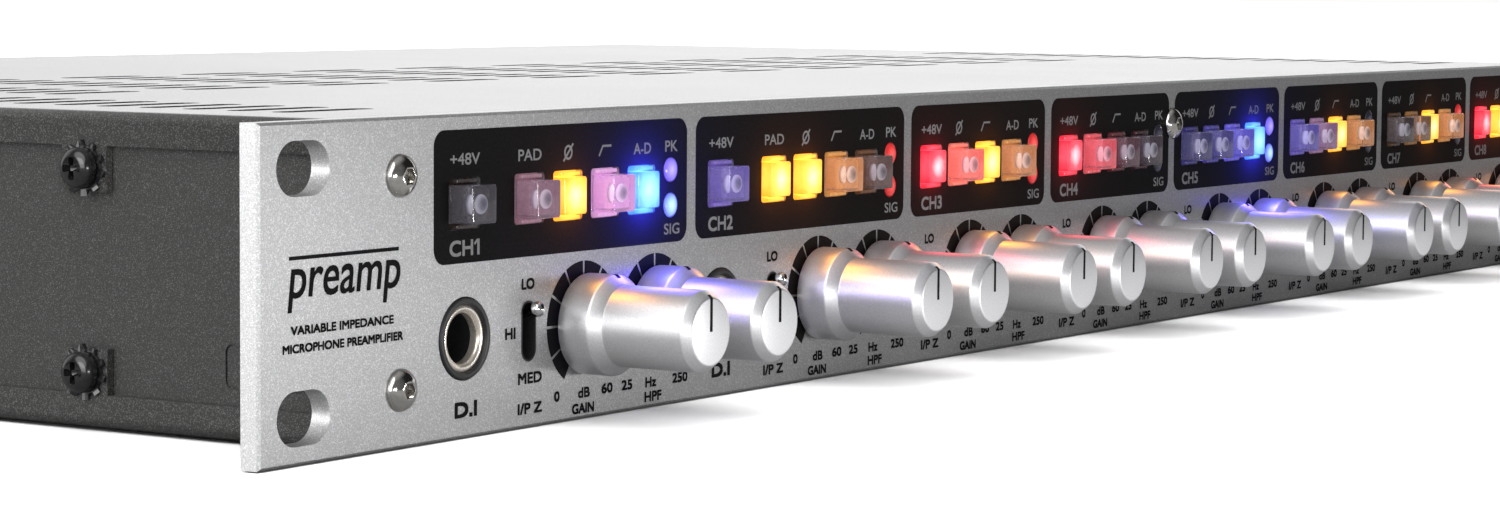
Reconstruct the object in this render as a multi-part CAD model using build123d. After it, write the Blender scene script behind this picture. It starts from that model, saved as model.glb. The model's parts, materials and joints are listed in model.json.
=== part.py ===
from build123d import *
import math
import os

# Eight-channel microphone preamp in a one-unit, 19 inch rack case. Millimetres.
# +X runs right along the front panel, +Y runs back into the rack and +Z is up.
# The origin is the centre of the four rack slots, on the front face of the panel.

# Front panel and rack slots
PANEL_WIDTH = 482.6
PANEL_HEIGHT = 43.7
PANEL_THICK = 3.0
PANEL_CHAMFER = 0.4
RACK_SPACING_X = 465.1
RACK_SPACING_Z = 31.75
RACK_SLOT_LENGTH = 10.6
RACK_SLOT_WIDTH = 7.1

# Sheet-metal case
CASE_WIDTH = 443.0
CASE_HEIGHT = 43.3
CASE_DEPTH = 260.0
LID_THICK = 1.2
LID_LIP = 4.7
LID_BEND = 1.6
PLATE_THICK = 1.4
LID_GAP = 0.1
FLANGE_WIDTH = 12.8
TAB_WIDTH = 8.0
TAB_REACH = 11.0
TAB_SCREW_Z = 13.9
TAB_SCREW_Y = (47.3, 145.0, 240.0)

# Cooling slots in the top cover
VENT_LENGTH = 20.0
VENT_WIDTH = 3.6
VENT_PITCH = 7.95
VENT_LAST_Y = 151.6
VENT_SIDE_X = 198.5
VENT_SIDE_ROWS = 17
VENT_COLUMN_PITCH = 31.6
VENT_COLUMNS = 11
VENT_COLUMN_ROWS = 8

# Channel strips: two wide ones with an instrument input, then six narrow ones
CHANNELS = 8
WIDE_CHANNELS = 2
WIDE_BOX = 60.7
NARROW_BOX = 45.6
BOX_GAP = 2.3
# Places of the controls, measured left from the right edge of a channel's box
GAIN_INSET = 26.1
FILTER_INSET = 8.3
TOGGLE_INSET = 39.2
BUTTON_INSET = 11.8
BUTTON_PITCH = 9.1
FAR_INSET = 53.9
LIGHT_INSET = 4.3
BUTTON_Z = 9.8
KNOB_Z = -8.4
PEAK_Z = 12.35
SIGNAL_Z = 7.2
POWER_X = 213.2
POWER_Z = -4.5
POWER_LIGHT_Z = 4.0

# Knobs, turned in one piece with the shaft they are fixed to
KNOB_GAP = 0.6
SKIRT_RADIUS = 7.15
SKIRT_END = 5.6
BARREL_RADIUS = 5.75
BARREL_START = 7.2
KNOB_LENGTH = 21.5
KNOB_CHAMFER = 1.3
POINTER_WIDTH = 0.55
POINTER_DEPTH = 0.2
POINTER_LENGTH = 4.0
SHAFT_RADIUS = 2.95
SHAFT_END = 13.0
BUSH_BORE = 3.0
BUSH_RADIUS = 4.0

# Push buttons: a square cap that stands out of the panel, with a wider flange behind the panel's face
BUTTON_CAP_WIDTH = 5.5
BUTTON_CAP_HEIGHT = 5.3
BUTTON_REACH = 3.4
BUTTON_TRAVEL = 2.0
BUTTON_FLANGE_WIDTH = 6.6
BUTTON_FLANGE_FRONT = 0.1
BUTTON_FLANGE_BACK = 1.3
BUTTON_HOLE = 7.0
STEM_SIZE = 3.0
STEM_BACK = 9.5
STEM_BORE = 3.4

# Toggle levers
TOGGLE_SLOT_WIDTH = 3.5
TOGGLE_SLOT_HEIGHT = 8.5
TOGGLE_Z = -8.5
TOGGLE_PIVOT_Y = 6.2
TOGGLE_BALL_REACH = 8.3
TOGGLE_BALL_RADIUS = 1.1
TOGGLE_STEM_RADIUS = 0.75
TOGGLE_SWING = 22.0
TOGGLE_BOSS_RADIUS = 1.5

# Instrument input jacks
JACK_NOSE_RADIUS = 5.55
JACK_FERRULE_RADIUS = 4.55
JACK_LIP_RADIUS = 3.5
JACK_BORE_RADIUS = 3.3
JACK_BODY = 14.0
JACK_BACK = 34.0

# Indicator lenses
LENS_RADIUS = 1.7
LENS_PROUD = 0.3
LENS_BACK = 9.0

# Circuit boards and what they carry
SWITCH_FRONT = 5.7
BOARD_FRONT = 16.0
BOARD_THICK = 1.6
MAIN_BOARD_Z = -14.5

# Screws
SCREW_RADIUS = 1.5
SCREW_HOLE = 1.65
THREAD_HOLE = 1.55
PANEL_SCREW_X = 212.7
PANEL_SCREW_Z = 14.1
SCREW_HEAD_RADIUS = 2.85
PANEL_HEAD_HEIGHT = 1.65
HEX_SIZE = 2.0
PANEL_SCREW_LENGTH = 9.0
COVER_HEAD_HEIGHT = 2.1
WASHER_RADIUS = 3.9
WASHER_THICK = 0.6
WASHER_TEETH = 10

# Rear sockets
MIC_PITCH = 27.2
MIC_FIRST_X = -193.0
MIC_FLANGE_WIDTH = 26.0
MIC_FLANGE_HEIGHT = 31.0
MIC_FLANGE_THICK = 2.0
MIC_RADIUS = 11.8
MIC_PIN_CIRCLE = 4.0
DSUB_X = (39.0, 96.0)
DSUB_Z = 9.5
CLOCK_X = 132.0
CLOCK_Z = 9.5
OPTICAL_X = 149.0
OPTICAL_Z = 8.5
INLET_X = 189.0

# Places worked out from the sizes above
CASE_BACK = PANEL_THICK + CASE_DEPTH
LID_TOP = CASE_HEIGHT / 2
LID_UNDER = LID_TOP - LID_THICK
SIDE_OUTER = CASE_WIDTH / 2 - LID_THICK - LID_GAP
SIDE_INNER = SIDE_OUTER - PLATE_THICK
SUBPANEL_BACK = PANEL_THICK + LID_THICK
FLANGE_BACK = SUBPANEL_BACK + PLATE_THICK
REAR_FRONT = CASE_BACK - PLATE_THICK


def channel_right(number):
    """Right edge of a channel's box, for channels 1 to 8."""
    wide = min(number, WIDE_CHANNELS)
    total = WIDE_CHANNELS * WIDE_BOX + (CHANNELS - WIDE_CHANNELS) * NARROW_BOX
    start = -(total + (CHANNELS - 1) * BOX_GAP) / 2
    return start + wide * WIDE_BOX + (number - wide) * NARROW_BOX + (number - 1) * BOX_GAP


def button_columns(number):
    """Centre X of each push button of a channel, keyed by what the button does."""
    right = channel_right(number)
    columns = {
        "converter": right - BUTTON_INSET,
        "filter": right - BUTTON_INSET - BUTTON_PITCH,
        "phase": right - BUTTON_INSET - 2 * BUTTON_PITCH,
    }
    fourth = right - BUTTON_INSET - 3 * BUTTON_PITCH
    if number <= WIDE_CHANNELS:
        columns["pad"] = fourth
        columns["phantom"] = right - FAR_INSET
    else:
        columns["phantom"] = fourth
    return columns


def block(x0, x1, y0, y1, z0, z1):
    """Rectangular block between two corners."""
    centre = ((x0 + x1) / 2, (y0 + y1) / 2, (z0 + z1) / 2)
    return Pos(*centre) * Box(x1 - x0, y1 - y0, z1 - z0)


def prism_y(sketch, x, z, y0, y1):
    """Sketch drawn in X and Z, extruded from y0 back to y1."""
    return Pos(x, y1, z) * Rot(90, 0, 0) * extrude(sketch, amount=y1 - y0)


def prism_x(sketch, y, z, x0, x1):
    """Sketch drawn in Y and Z, extruded from x0 right to x1."""
    return extrude(Plane((x0, y, z), x_dir=(0, 1, 0), z_dir=(1, 0, 0)) * sketch, amount=x1 - x0)


def rod_y(radius, x, z, y0, y1):
    """Round rod along Y."""
    return prism_y(Circle(radius), x, z, y0, y1)


def fuse(shapes):
    """One solid from shapes that overlap or touch."""
    first, *rest = shapes
    return first + rest


def group(shapes):
    """Separate solids that share one file."""
    return Compound(children=[solid for shape in shapes for solid in shape.solids()])


# Positions that several parts share
BUTTONS = {n: button_columns(n) for n in range(1, CHANNELS + 1)}
BUTTON_XS = [x for columns in BUTTONS.values() for x in columns.values()]
GAIN_XS = [channel_right(n) - GAIN_INSET for n in range(1, CHANNELS + 1)]
FILTER_XS = [channel_right(n) - FILTER_INSET for n in range(1, CHANNELS + 1)]
TOGGLE_XS = [channel_right(n) - TOGGLE_INSET for n in range(1, CHANNELS + 1)]
JACK_XS = [channel_right(n) - FAR_INSET for n in range(1, WIDE_CHANNELS + 1)]
LIGHTS = [(channel_right(n) - LIGHT_INSET, z) for n in range(1, CHANNELS + 1) for z in (PEAK_Z, SIGNAL_Z)]
LIGHTS.append((POWER_X, POWER_LIGHT_Z))
MIDDLE_SCREW_X = channel_right(CHANNELS // 2) + BOX_GAP / 2
PANEL_SCREWS = [(x, z) for x in (-PANEL_SCREW_X, MIDDLE_SCREW_X, PANEL_SCREW_X)
                for z in (-PANEL_SCREW_Z, PANEL_SCREW_Z)]
MIC_XS = [MIC_FIRST_X + MIC_PITCH * i for i in range(CHANNELS)]


def control_openings(y0, y1):
    """Cutters for everything that passes through the panel and the plate behind it."""
    square = RectangleRounded(BUTTON_HOLE, BUTTON_HOLE, 0.5)
    cutters = [prism_y(square, x, BUTTON_Z, y0, y1) for x in BUTTON_XS]
    cutters.append(prism_y(square, POWER_X, POWER_Z, y0, y1))
    cutters += [rod_y(BUSH_RADIUS + 0.2, x, KNOB_Z, y0, y1) for x in GAIN_XS + FILTER_XS]
    cutters += [rod_y(LENS_RADIUS + 0.12, x, z, y0, y1) for x, z in LIGHTS]
    cutters += [rod_y(JACK_NOSE_RADIUS + 0.15, x, KNOB_Z, y0, y1) for x in JACK_XS]
    slot = Rot(0, 0, 90) * SlotOverall(TOGGLE_SLOT_HEIGHT, TOGGLE_SLOT_WIDTH)
    cutters += [prism_y(slot, x, TOGGLE_Z, y0, y1) for x in TOGGLE_XS]
    return cutters


def front_panel():
    """Aluminium front panel with its rack slots and control openings."""
    panel = block(-PANEL_WIDTH / 2, PANEL_WIDTH / 2, 0, PANEL_THICK, -PANEL_HEIGHT / 2, PANEL_HEIGHT / 2)
    panel = chamfer(panel.faces().sort_by(Axis.Y)[0].edges(), PANEL_CHAMFER)
    slot = SlotOverall(RACK_SLOT_LENGTH, RACK_SLOT_WIDTH)
    cutters = [prism_y(slot, sx * RACK_SPACING_X / 2, sz * RACK_SPACING_Z / 2, -1, PANEL_THICK + 1)
               for sx in (-1, 1) for sz in (-1, 1)]
    cutters += [rod_y(SCREW_HOLE, x, z, -1, PANEL_THICK + 1) for x, z in PANEL_SCREWS]
    return panel - (cutters + control_openings(-1, PANEL_THICK + 1))


def front_subpanel():
    """Steel plate behind the front panel, with stiffening flanges top and bottom."""
    edge = LID_UNDER - LID_GAP
    plate = block(-SIDE_INNER + LID_GAP, SIDE_INNER - LID_GAP, PANEL_THICK, SUBPANEL_BACK, -edge, edge)
    reach = SIDE_INNER - FLANGE_WIDTH - 1
    flanges = [block(-reach, reach, SUBPANEL_BACK, SUBPANEL_BACK + 8, edge - LID_THICK, edge),
               block(-reach, reach, SUBPANEL_BACK, SUBPANEL_BACK + 8, -edge, LID_THICK - edge)]
    cutters = [rod_y(SCREW_HOLE, x, z, PANEL_THICK - 1, SUBPANEL_BACK + 1)
               for x, z in PANEL_SCREWS if x != MIDDLE_SCREW_X]
    cutters += [rod_y(THREAD_HOLE, x, z, PANEL_THICK - 1, SUBPANEL_BACK + 1)
                for x, z in PANEL_SCREWS if x == MIDDLE_SCREW_X]
    return fuse([plate] + flanges) - (cutters + control_openings(PANEL_THICK - 1, SUBPANEL_BACK + 1))


def right_side_plate():
    """Folded side plate, with front and rear flanges and a knock-out mark."""
    edge = LID_UNDER - LID_GAP
    web = block(SIDE_INNER, SIDE_OUTER, SUBPANEL_BACK, REAR_FRONT, -edge, edge)
    inner = SIDE_INNER - FLANGE_WIDTH
    front = block(inner, SIDE_INNER, SUBPANEL_BACK, FLANGE_BACK, -edge, edge)
    rear = block(inner, SIDE_INNER, REAR_FRONT - PLATE_THICK, REAR_FRONT, -edge, edge)
    cutters = [rod_y(THREAD_HOLE, PANEL_SCREW_X, sz * PANEL_SCREW_Z, SUBPANEL_BACK - 1, FLANGE_BACK + 1)
               for sz in (-1, 1)]
    cutters += [prism_x(Circle(THREAD_HOLE), y, sz * TAB_SCREW_Z, SIDE_INNER - 1, SIDE_OUTER + 1)
                for y in TAB_SCREW_Y for sz in (-1, 1)]
    cutters.append(prism_y(RectangleRounded(10.0, 18.0, 1.0), POWER_X, 0, SUBPANEL_BACK - 1, FLANGE_BACK + 1))
    outline = RectangleRounded(14.0, 6.0, 1.2) - RectangleRounded(13.2, 5.2, 0.8)
    cutters.append(prism_x(outline, 16.5, -11.8, SIDE_OUTER - 0.3, SIDE_OUTER + 1))
    return fuse([web, front, rear]) - cutters


def side_plates():
    """Left and right side plates, mirror images of each other."""
    right = right_side_plate()
    return group([right, mirror(right, about=Plane.YZ)])


def cover_shell():
    """Top cover before its cooling slots: a shallow tray with lips and screw tabs."""
    half = CASE_WIDTH / 2
    outer = Pos(0, LID_TOP - LID_LIP / 2) * Rectangle(CASE_WIDTH, LID_LIP)
    outer = fillet(outer.vertices().group_by(Axis.Y)[-1], LID_BEND)
    inner = Pos(0, LID_UNDER - LID_LIP / 2) * Rectangle(CASE_WIDTH - 2 * LID_THICK, LID_LIP)
    tray = prism_y(outer - inner, 0, 0, PANEL_THICK, CASE_BACK)
    tabs = [block(min(s * half, s * (half - LID_THICK)), max(s * half, s * (half - LID_THICK)),
                  y - TAB_WIDTH / 2, y + TAB_WIDTH / 2, LID_TOP - TAB_REACH, LID_TOP - LID_LIP + 1)
            for s in (-1, 1) for y in TAB_SCREW_Y]
    holes = [prism_x(Circle(SCREW_HOLE), y, TAB_SCREW_Z, min(s * (half - 3), s * (half + 1)),
                     max(s * (half - 3), s * (half + 1)))
             for s in (-1, 1) for y in TAB_SCREW_Y]
    return fuse([tray] + tabs) - holes


def top_cover():
    """Top cover with its columns of cooling slots."""
    places = [(s * VENT_SIDE_X, VENT_LAST_Y - VENT_PITCH * row)
              for s in (-1, 1) for row in range(VENT_SIDE_ROWS)]
    places += [(-VENT_SIDE_X + VENT_COLUMN_PITCH * column, VENT_LAST_Y - VENT_PITCH * row)
               for column in range(1, VENT_COLUMNS + 1) for row in range(VENT_COLUMN_ROWS)]
    slot = extrude(SlotOverall(VENT_LENGTH, VENT_WIDTH), amount=LID_THICK + 2)
    return cover_shell() - [Pos(x, y, LID_UNDER - 1) * slot for x, y in places]


def bottom_cover():
    """Bottom cover: the same tray upside down, with no cooling slots."""
    return mirror(cover_shell(), about=Plane.XY)


def rear_panel():
    """Steel rear panel with its socket openings."""
    edge = LID_UNDER - LID_GAP
    panel = block(-SIDE_OUTER, SIDE_OUTER, REAR_FRONT, CASE_BACK, -edge, edge)
    y0, y1 = REAR_FRONT - 1, CASE_BACK + 1
    cutters = [rod_y(MIC_RADIUS + 0.2, x, 0, y0, y1) for x in MIC_XS]
    cutters += [prism_y(RectangleRounded(41.0, 10.0, 1.0), x, sz * DSUB_Z, y0, y1)
                for x in DSUB_X for sz in (-1, 1)]
    cutters += [rod_y(4.9, CLOCK_X, sz * CLOCK_Z, y0, y1) for sz in (-1, 1)]
    cutters += [prism_y(Rectangle(10.2, 10.2), OPTICAL_X, sz * OPTICAL_Z, y0, y1) for sz in (-1, 1)]
    cutters.append(prism_y(RectangleRounded(28.4, 21.4, 2.0), INLET_X, 0, y0, y1))
    return panel - cutters


def panel_screw(x, z):
    """Button-head screw with a hexagon socket, seated on the front panel."""
    dome = Pos(x, 0, z) * Rot(90, 0, 0) * Cone(SCREW_HEAD_RADIUS, 1.5, PANEL_HEAD_HEIGHT,
                                               align=(Align.CENTER, Align.CENTER, Align.MIN))
    dome = fillet(dome.faces().sort_by(Axis.Y)[0].edges(), 0.5)
    shank = rod_y(SCREW_RADIUS, x, z, 0, PANEL_SCREW_LENGTH)
    socket = prism_y(RegularPolygon(HEX_SIZE / 2, 6, major_radius=False), x, z, -PANEL_HEAD_HEIGHT - 1, -0.55)
    return dome + shank - socket


def cover_screw(side, y, z):
    """Pan-head screw with a cross recess, and the toothed lock washer under it."""
    face = CASE_WIDTH / 2
    teeth = [Rot(0, 0, 360 / WASHER_TEETH * i) * Pos(WASHER_RADIUS - 0.35, 0) * Rectangle(0.9, 1.1)
             for i in range(WASHER_TEETH)]
    ring = fuse([Circle(WASHER_RADIUS - 0.5)] + teeth) - Circle(SCREW_HOLE)
    washer = prism_x(ring, y, z, face, face + WASHER_THICK)
    seat = face + WASHER_THICK
    head = prism_x(Circle(SCREW_HEAD_RADIUS), y, z, seat, seat + COVER_HEAD_HEIGHT)
    head = fillet(head.faces().sort_by(Axis.X)[-1].edges(), 1.0)
    shank = prism_x(Circle(SCREW_RADIUS), y, z, SIDE_INNER - 2, seat)
    cross = prism_x(Rectangle(3.2, 0.7) + Rectangle(0.7, 3.2), y, z, seat + 0.7, seat + COVER_HEAD_HEIGHT + 1)
    pair = [head + shank - cross, washer]
    return pair if side > 0 else [mirror(piece, about=Plane.YZ) for piece in pair]


def jack(x):
    """Instrument jack: a black body with a round nose, and the metal ferrule in it."""
    body = block(x - JACK_BODY / 2, x + JACK_BODY / 2, SUBPANEL_BACK, JACK_BACK,
                 KNOB_Z - JACK_BODY / 2, KNOB_Z + JACK_BODY / 2)
    nose = rod_y(JACK_NOSE_RADIUS, x, KNOB_Z, -0.4, SUBPANEL_BACK)
    body = fuse([body, nose]) - rod_y(JACK_FERRULE_RADIUS, x, KNOB_Z, -1, 8)
    body -= rod_y(JACK_BORE_RADIUS, x, KNOB_Z, 7, JACK_BACK - 2)
    ferrule = rod_y(JACK_FERRULE_RADIUS - 0.03, x, KNOB_Z, 0.2, 8)
    mouth = Pos(x, 0.2, KNOB_Z) * Rot(-90, 0, 0) * Cone(
        JACK_LIP_RADIUS + 0.4, JACK_BORE_RADIUS, 1.2, align=(Align.CENTER, Align.CENTER, Align.MIN))
    return [body, ferrule - [rod_y(JACK_BORE_RADIUS, x, KNOB_Z, -1, 9), mouth]]


def lens(x, z):
    """Round indicator lens with a softened front edge."""
    barrel = rod_y(LENS_RADIUS, x, z, -LENS_PROUD, LENS_BACK)
    return fillet(barrel.faces().sort_by(Axis.Y)[0].edges(), 0.25)


def knob(x):
    """Skirted knob with its pointer groove, and the shaft it turns on."""
    outline = Polyline([
        (0, KNOB_LENGTH), (BARREL_RADIUS - KNOB_CHAMFER, KNOB_LENGTH),
        (BARREL_RADIUS, KNOB_LENGTH - KNOB_CHAMFER), (BARREL_RADIUS, BARREL_START),
        (SKIRT_RADIUS, SKIRT_END), (SKIRT_RADIUS, KNOB_GAP), (SHAFT_RADIUS, KNOB_GAP),
        (SHAFT_RADIUS, -SHAFT_END), (0, -SHAFT_END)], close=True)
    body = revolve(make_face(Plane.XZ * outline), Axis.Z)
    pointer_z = KNOB_LENGTH - KNOB_CHAMFER - POINTER_DEPTH
    groove = Pos(0, BARREL_RADIUS - POINTER_LENGTH / 2, KNOB_LENGTH) * Box(
        POINTER_WIDTH, POINTER_LENGTH, 2 * POINTER_DEPTH)
    corner_place = Pos(0, BARREL_RADIUS, pointer_z + KNOB_CHAMFER / 2)
    corner = corner_place * Box(POINTER_WIDTH, 2 * POINTER_DEPTH, KNOB_CHAMFER)
    notch = Pos(0, SKIRT_RADIUS, SKIRT_END) * Box(POINTER_WIDTH, 0.5, 0.8)
    return Pos(x, 0, KNOB_Z) * Rot(90, 0, 0) * (body - [groove, corner, notch])


def button(x, z, pressed):
    """Push button with its flange and stem, standing out or latched in."""
    back = BUTTON_TRAVEL if pressed else 0
    flange_front = back + BUTTON_FLANGE_FRONT
    flange_back = back + BUTTON_FLANGE_BACK
    cap = prism_y(RectangleRounded(BUTTON_CAP_WIDTH, BUTTON_CAP_HEIGHT, 0.4), x, z,
                  back - BUTTON_REACH, flange_front)
    cap = fillet(cap.faces().sort_by(Axis.Y)[0].edges(), 0.25)
    flange = prism_y(RectangleRounded(BUTTON_FLANGE_WIDTH, BUTTON_CAP_HEIGHT, 0.4), x, z,
                     flange_front, flange_back)
    stem = block(x - STEM_SIZE / 2, x + STEM_SIZE / 2, flange_back, back + STEM_BACK,
                 z - STEM_SIZE / 2, z + STEM_SIZE / 2)
    return fuse([flange, cap, stem])


def toggle(x):
    """Ball-ended toggle lever, built upright and tilted to its top stop."""
    stem = rod_y(TOGGLE_STEM_RADIUS, 0, 0, -TOGGLE_BALL_REACH, 0)
    ball = Pos(0, -TOGGLE_BALL_REACH, 0) * Sphere(TOGGLE_BALL_RADIUS)
    boss = prism_x(Circle(TOGGLE_BOSS_RADIUS), 0, 0, -1.2, 1.2)
    return Pos(x, TOGGLE_PIVOT_Y, TOGGLE_Z) * Rot(-TOGGLE_SWING, 0, 0) * fuse([stem, ball, boss])


def pot_body(x):
    """Potentiometer with the threaded bush that its shaft turns in."""
    body = block(x - 4.9, x + 4.9, SWITCH_FRONT, BOARD_FRONT, KNOB_Z - 5.5, KNOB_Z + 5.5)
    bush = rod_y(BUSH_RADIUS, x, KNOB_Z, 1.0, SWITCH_FRONT)
    return fuse([body, bush]) - rod_y(BUSH_BORE, x, KNOB_Z, 0, SHAFT_END + 1)


def push_switch_body(x, z):
    """Latching push switch with a square bore for the button's stem."""
    body = block(x - 4.2, x + 4.2, SWITCH_FRONT, BOARD_FRONT, z - 4.2, z + 4.2)
    return body - block(x - STEM_BORE / 2, x + STEM_BORE / 2, SWITCH_FRONT - 1, STEM_BACK + BUTTON_TRAVEL + 1,
                        z - STEM_BORE / 2, z + STEM_BORE / 2)


def toggle_body(x):
    """Toggle switch, hollow where its lever swings."""
    body = block(x - 3.4, x + 3.4, SUBPANEL_BACK, BOARD_FRONT, TOGGLE_Z - 6, TOGGLE_Z + 6)
    return body - block(x - 1.6, x + 1.6, SUBPANEL_BACK - 1, TOGGLE_PIVOT_Y + 2.2,
                        TOGGLE_Z - 4.6, TOGGLE_Z + 4.6)


def control_board():
    """Upright board that carries the controls, cut away around the jacks."""
    board = block(-204, 204, BOARD_FRONT, BOARD_FRONT + BOARD_THICK, -18.5, 18.5)
    size = JACK_BODY + 1
    return board - [block(x - size / 2, x + size / 2, BOARD_FRONT - 1, BOARD_FRONT + 3,
                          KNOB_Z - size / 2, KNOB_Z + size / 2) for x in JACK_XS]


def main_board():
    """Preamp board on its standoffs, with one block of parts for each channel."""
    top = MAIN_BOARD_Z + BOARD_THICK
    pieces = [block(-212, 108, 40, 232, MAIN_BOARD_Z, top)]
    for x in (-205, -100, 0, 100):
        for y in (48, 136, 224):
            pieces.append(Pos(x, y, -LID_UNDER) * extrude(Circle(3), amount=LID_UNDER + MAIN_BOARD_Z))
    for x in MIC_XS:
        left = max(x, -198.0)
        pieces.append(block(left - 8, left + 8, 196, 214, top, top + 13))
        pieces.append(block(left - 6, left + 6, 120, 126, top, top + 3))
        for y in (70, 90, 160):
            pieces.append(Pos(left, y, top) * extrude(Circle(5), amount=12))
    return group(pieces)


def power_supply():
    """Power board with its ring transformer, capacitors and heat sink."""
    top = MAIN_BOARD_Z + BOARD_THICK
    ring = Pos(166, 96, top) * extrude(Circle(34) - Circle(9), amount=26)
    pieces = [block(116, 212, 40, 232, MAIN_BOARD_Z, top), fillet(ring.edges(), 3.0)]
    for x in (123, 205):
        for y in (48, 224):
            pieces.append(Pos(x, y, -LID_UNDER) * extrude(Circle(3), amount=LID_UNDER + MAIN_BOARD_Z))
    for x in (134, 156):
        for y in (150, 174):
            pieces.append(Pos(x, y, top) * extrude(Circle(9), amount=25))
    fins = [block(182 + 4 * i, 183.5 + 4 * i, 146, 206, top + 3, top + 24) for i in range(6)]
    pieces.append(fuse([block(182, 203.5, 146, 206, top, top + 3)] + fins))
    return group(pieces)


def mic_socket(x):
    """Three-pole panel socket: a flange, a round barrel and the ring the plug's shell enters."""
    face = CASE_BACK + MIC_FLANGE_THICK
    flange = prism_y(RectangleRounded(MIC_FLANGE_WIDTH, MIC_FLANGE_HEIGHT, 3.0), x, 0, CASE_BACK, face)
    barrel = rod_y(MIC_RADIUS, x, 0, CASE_BACK - 23, CASE_BACK)
    ring = prism_y(Circle(9.8) - Circle(8.0), x, 0, face - 14, face + 1)
    contacts = [rod_y(1.3, x + MIC_PIN_CIRCLE * math.cos(math.radians(a)),
                      MIC_PIN_CIRCLE * math.sin(math.radians(a)), face - 12, face + 1)
                for a in (150, 30, 270)]
    heads = []
    for sx, sz in ((-1, 1), (1, -1)):
        head = rod_y(2.6, x + sx * 9.6, sz * 12.1, face, face + 1.4)
        head = fillet(head.faces().sort_by(Axis.Y)[-1].edges(), 0.6)
        heads.append(head - prism_y(Rectangle(3.0, 0.6) + Rectangle(0.6, 3.0), x + sx * 9.6, sz * 12.1,
                                    face + 0.7, face + 2))
    return [fuse([flange, barrel]) - [ring] - contacts] + heads


def dsub_socket(x, z):
    """25-way socket: a flange, a tapered shell and two rows of contacts."""
    y0 = CASE_BACK
    flange = prism_y(RectangleRounded(53.0, 12.5, 1.5), x, z, y0, y0 + 1)
    shell = prism_y(fillet(Trapezoid(38.9, 8.3, 80, rotation=180).vertices(), 2.2), x, z, y0 + 1, y0 + 6)
    body = block(x - 20, x + 20, y0 - 8, y0, z - 4.6, z + 4.6)
    rows = ((13, 1.4), (12, -1.4))
    contacts = [rod_y(0.55, x + 2.76 * (i - (count - 1) / 2), z + dz, y0 + 3, y0 + 7)
                for count, dz in rows for i in range(count)]
    posts = [prism_y(RegularPolygon(2.4, 6), x + s * 23.5, z, y0 + 1, y0 + 5.5) for s in (-1, 1)]
    return [fuse([flange, shell, body]) - contacts] + posts


def clock_socket(z):
    """Bayonet coaxial socket."""
    y0 = CASE_BACK
    tube = rod_y(4.8, CLOCK_X, z, y0 - 9, y0 + 12)
    tube -= prism_y(Circle(4.1) - Circle(2.4), CLOCK_X, z, y0 + 4, y0 + 13)
    tube -= rod_y(0.7, CLOCK_X, z, y0 + 5, y0 + 13)
    collar = prism_y(RegularPolygon(6.6, 6) - Circle(4.8), CLOCK_X, z, y0, y0 + 2)
    lugs = [prism_x(Circle(0.9), y0 + 9.5, z, CLOCK_X + s * 5.3 - 0.8, CLOCK_X + s * 5.3 + 0.8)
            for s in (-1, 1)]
    return [fuse([tube, collar] + lugs)]


def optical_socket(z):
    """Square optical socket closed by its dust plug."""
    y0 = CASE_BACK
    body = prism_y(Rectangle(9.8, 9.8), OPTICAL_X, z, y0 - 10, y0 + 0.8)
    plug = prism_y(RectangleRounded(7.6, 7.6, 1.0), OPTICAL_X, z, y0 + 0.8, y0 + 3.4)
    return [fuse([body, plug])]


def rear_sockets():
    """Line, clock and optical sockets on the rear panel."""
    pieces = []
    for s in (-1, 1):
        for x in DSUB_X:
            pieces += dsub_socket(x, s * DSUB_Z)
        pieces += clock_socket(s * CLOCK_Z)
        pieces += optical_socket(s * OPTICAL_Z)
    return group(pieces)


def mains_inlet():
    """Three-pin mains inlet: a flanged body, its recess and the three blades."""
    y0 = CASE_BACK
    flange = prism_y(RectangleRounded(50.0, 24.0, 3.0), INLET_X, 0, y0, y0 + 2.5)
    body = prism_y(RectangleRounded(28.0, 21.0, 2.0), INLET_X, 0, y0 - 20, y0)
    recess = prism_y(chamfer(Rectangle(24.0, 16.5).vertices().group_by(Axis.Y)[-1], 4.0), INLET_X, 0,
                     y0 + 2.5 - 17, y0 + 4)
    shell = fuse([flange, body]) - recess
    blades = [block(INLET_X + dx - 1, INLET_X + dx + 1, y0 - 14.5, y0 - 0.5, dz - 2, dz + 2)
              for dx, dz in ((-7, -1.5), (0, 2.5), (7, -1.5))]
    screws = [fillet(rod_y(2.8, INLET_X + s * 20, 0, y0 + 2.5, y0 + 4.2).edges().sort_by(Axis.Y)[-1], 0.7)
              for s in (-1, 1)]
    return group([fuse([shell] + blades)] + screws)


# Which push buttons are latched in; the others stand out
LATCHED = {1: ("phase", "converter"), 2: ("pad", "phase"), 3: ("phantom", "filter"), 4: ("phantom",),
           5: ("converter",), 6: ("filter",), 7: ("filter",), 8: ("phantom", "phase")}


def channel_button(number, name):
    """One push button of a channel, in the state it is left in."""
    return button(BUTTONS[number][name], BUTTON_Z, name in LATCHED[number])


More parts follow.
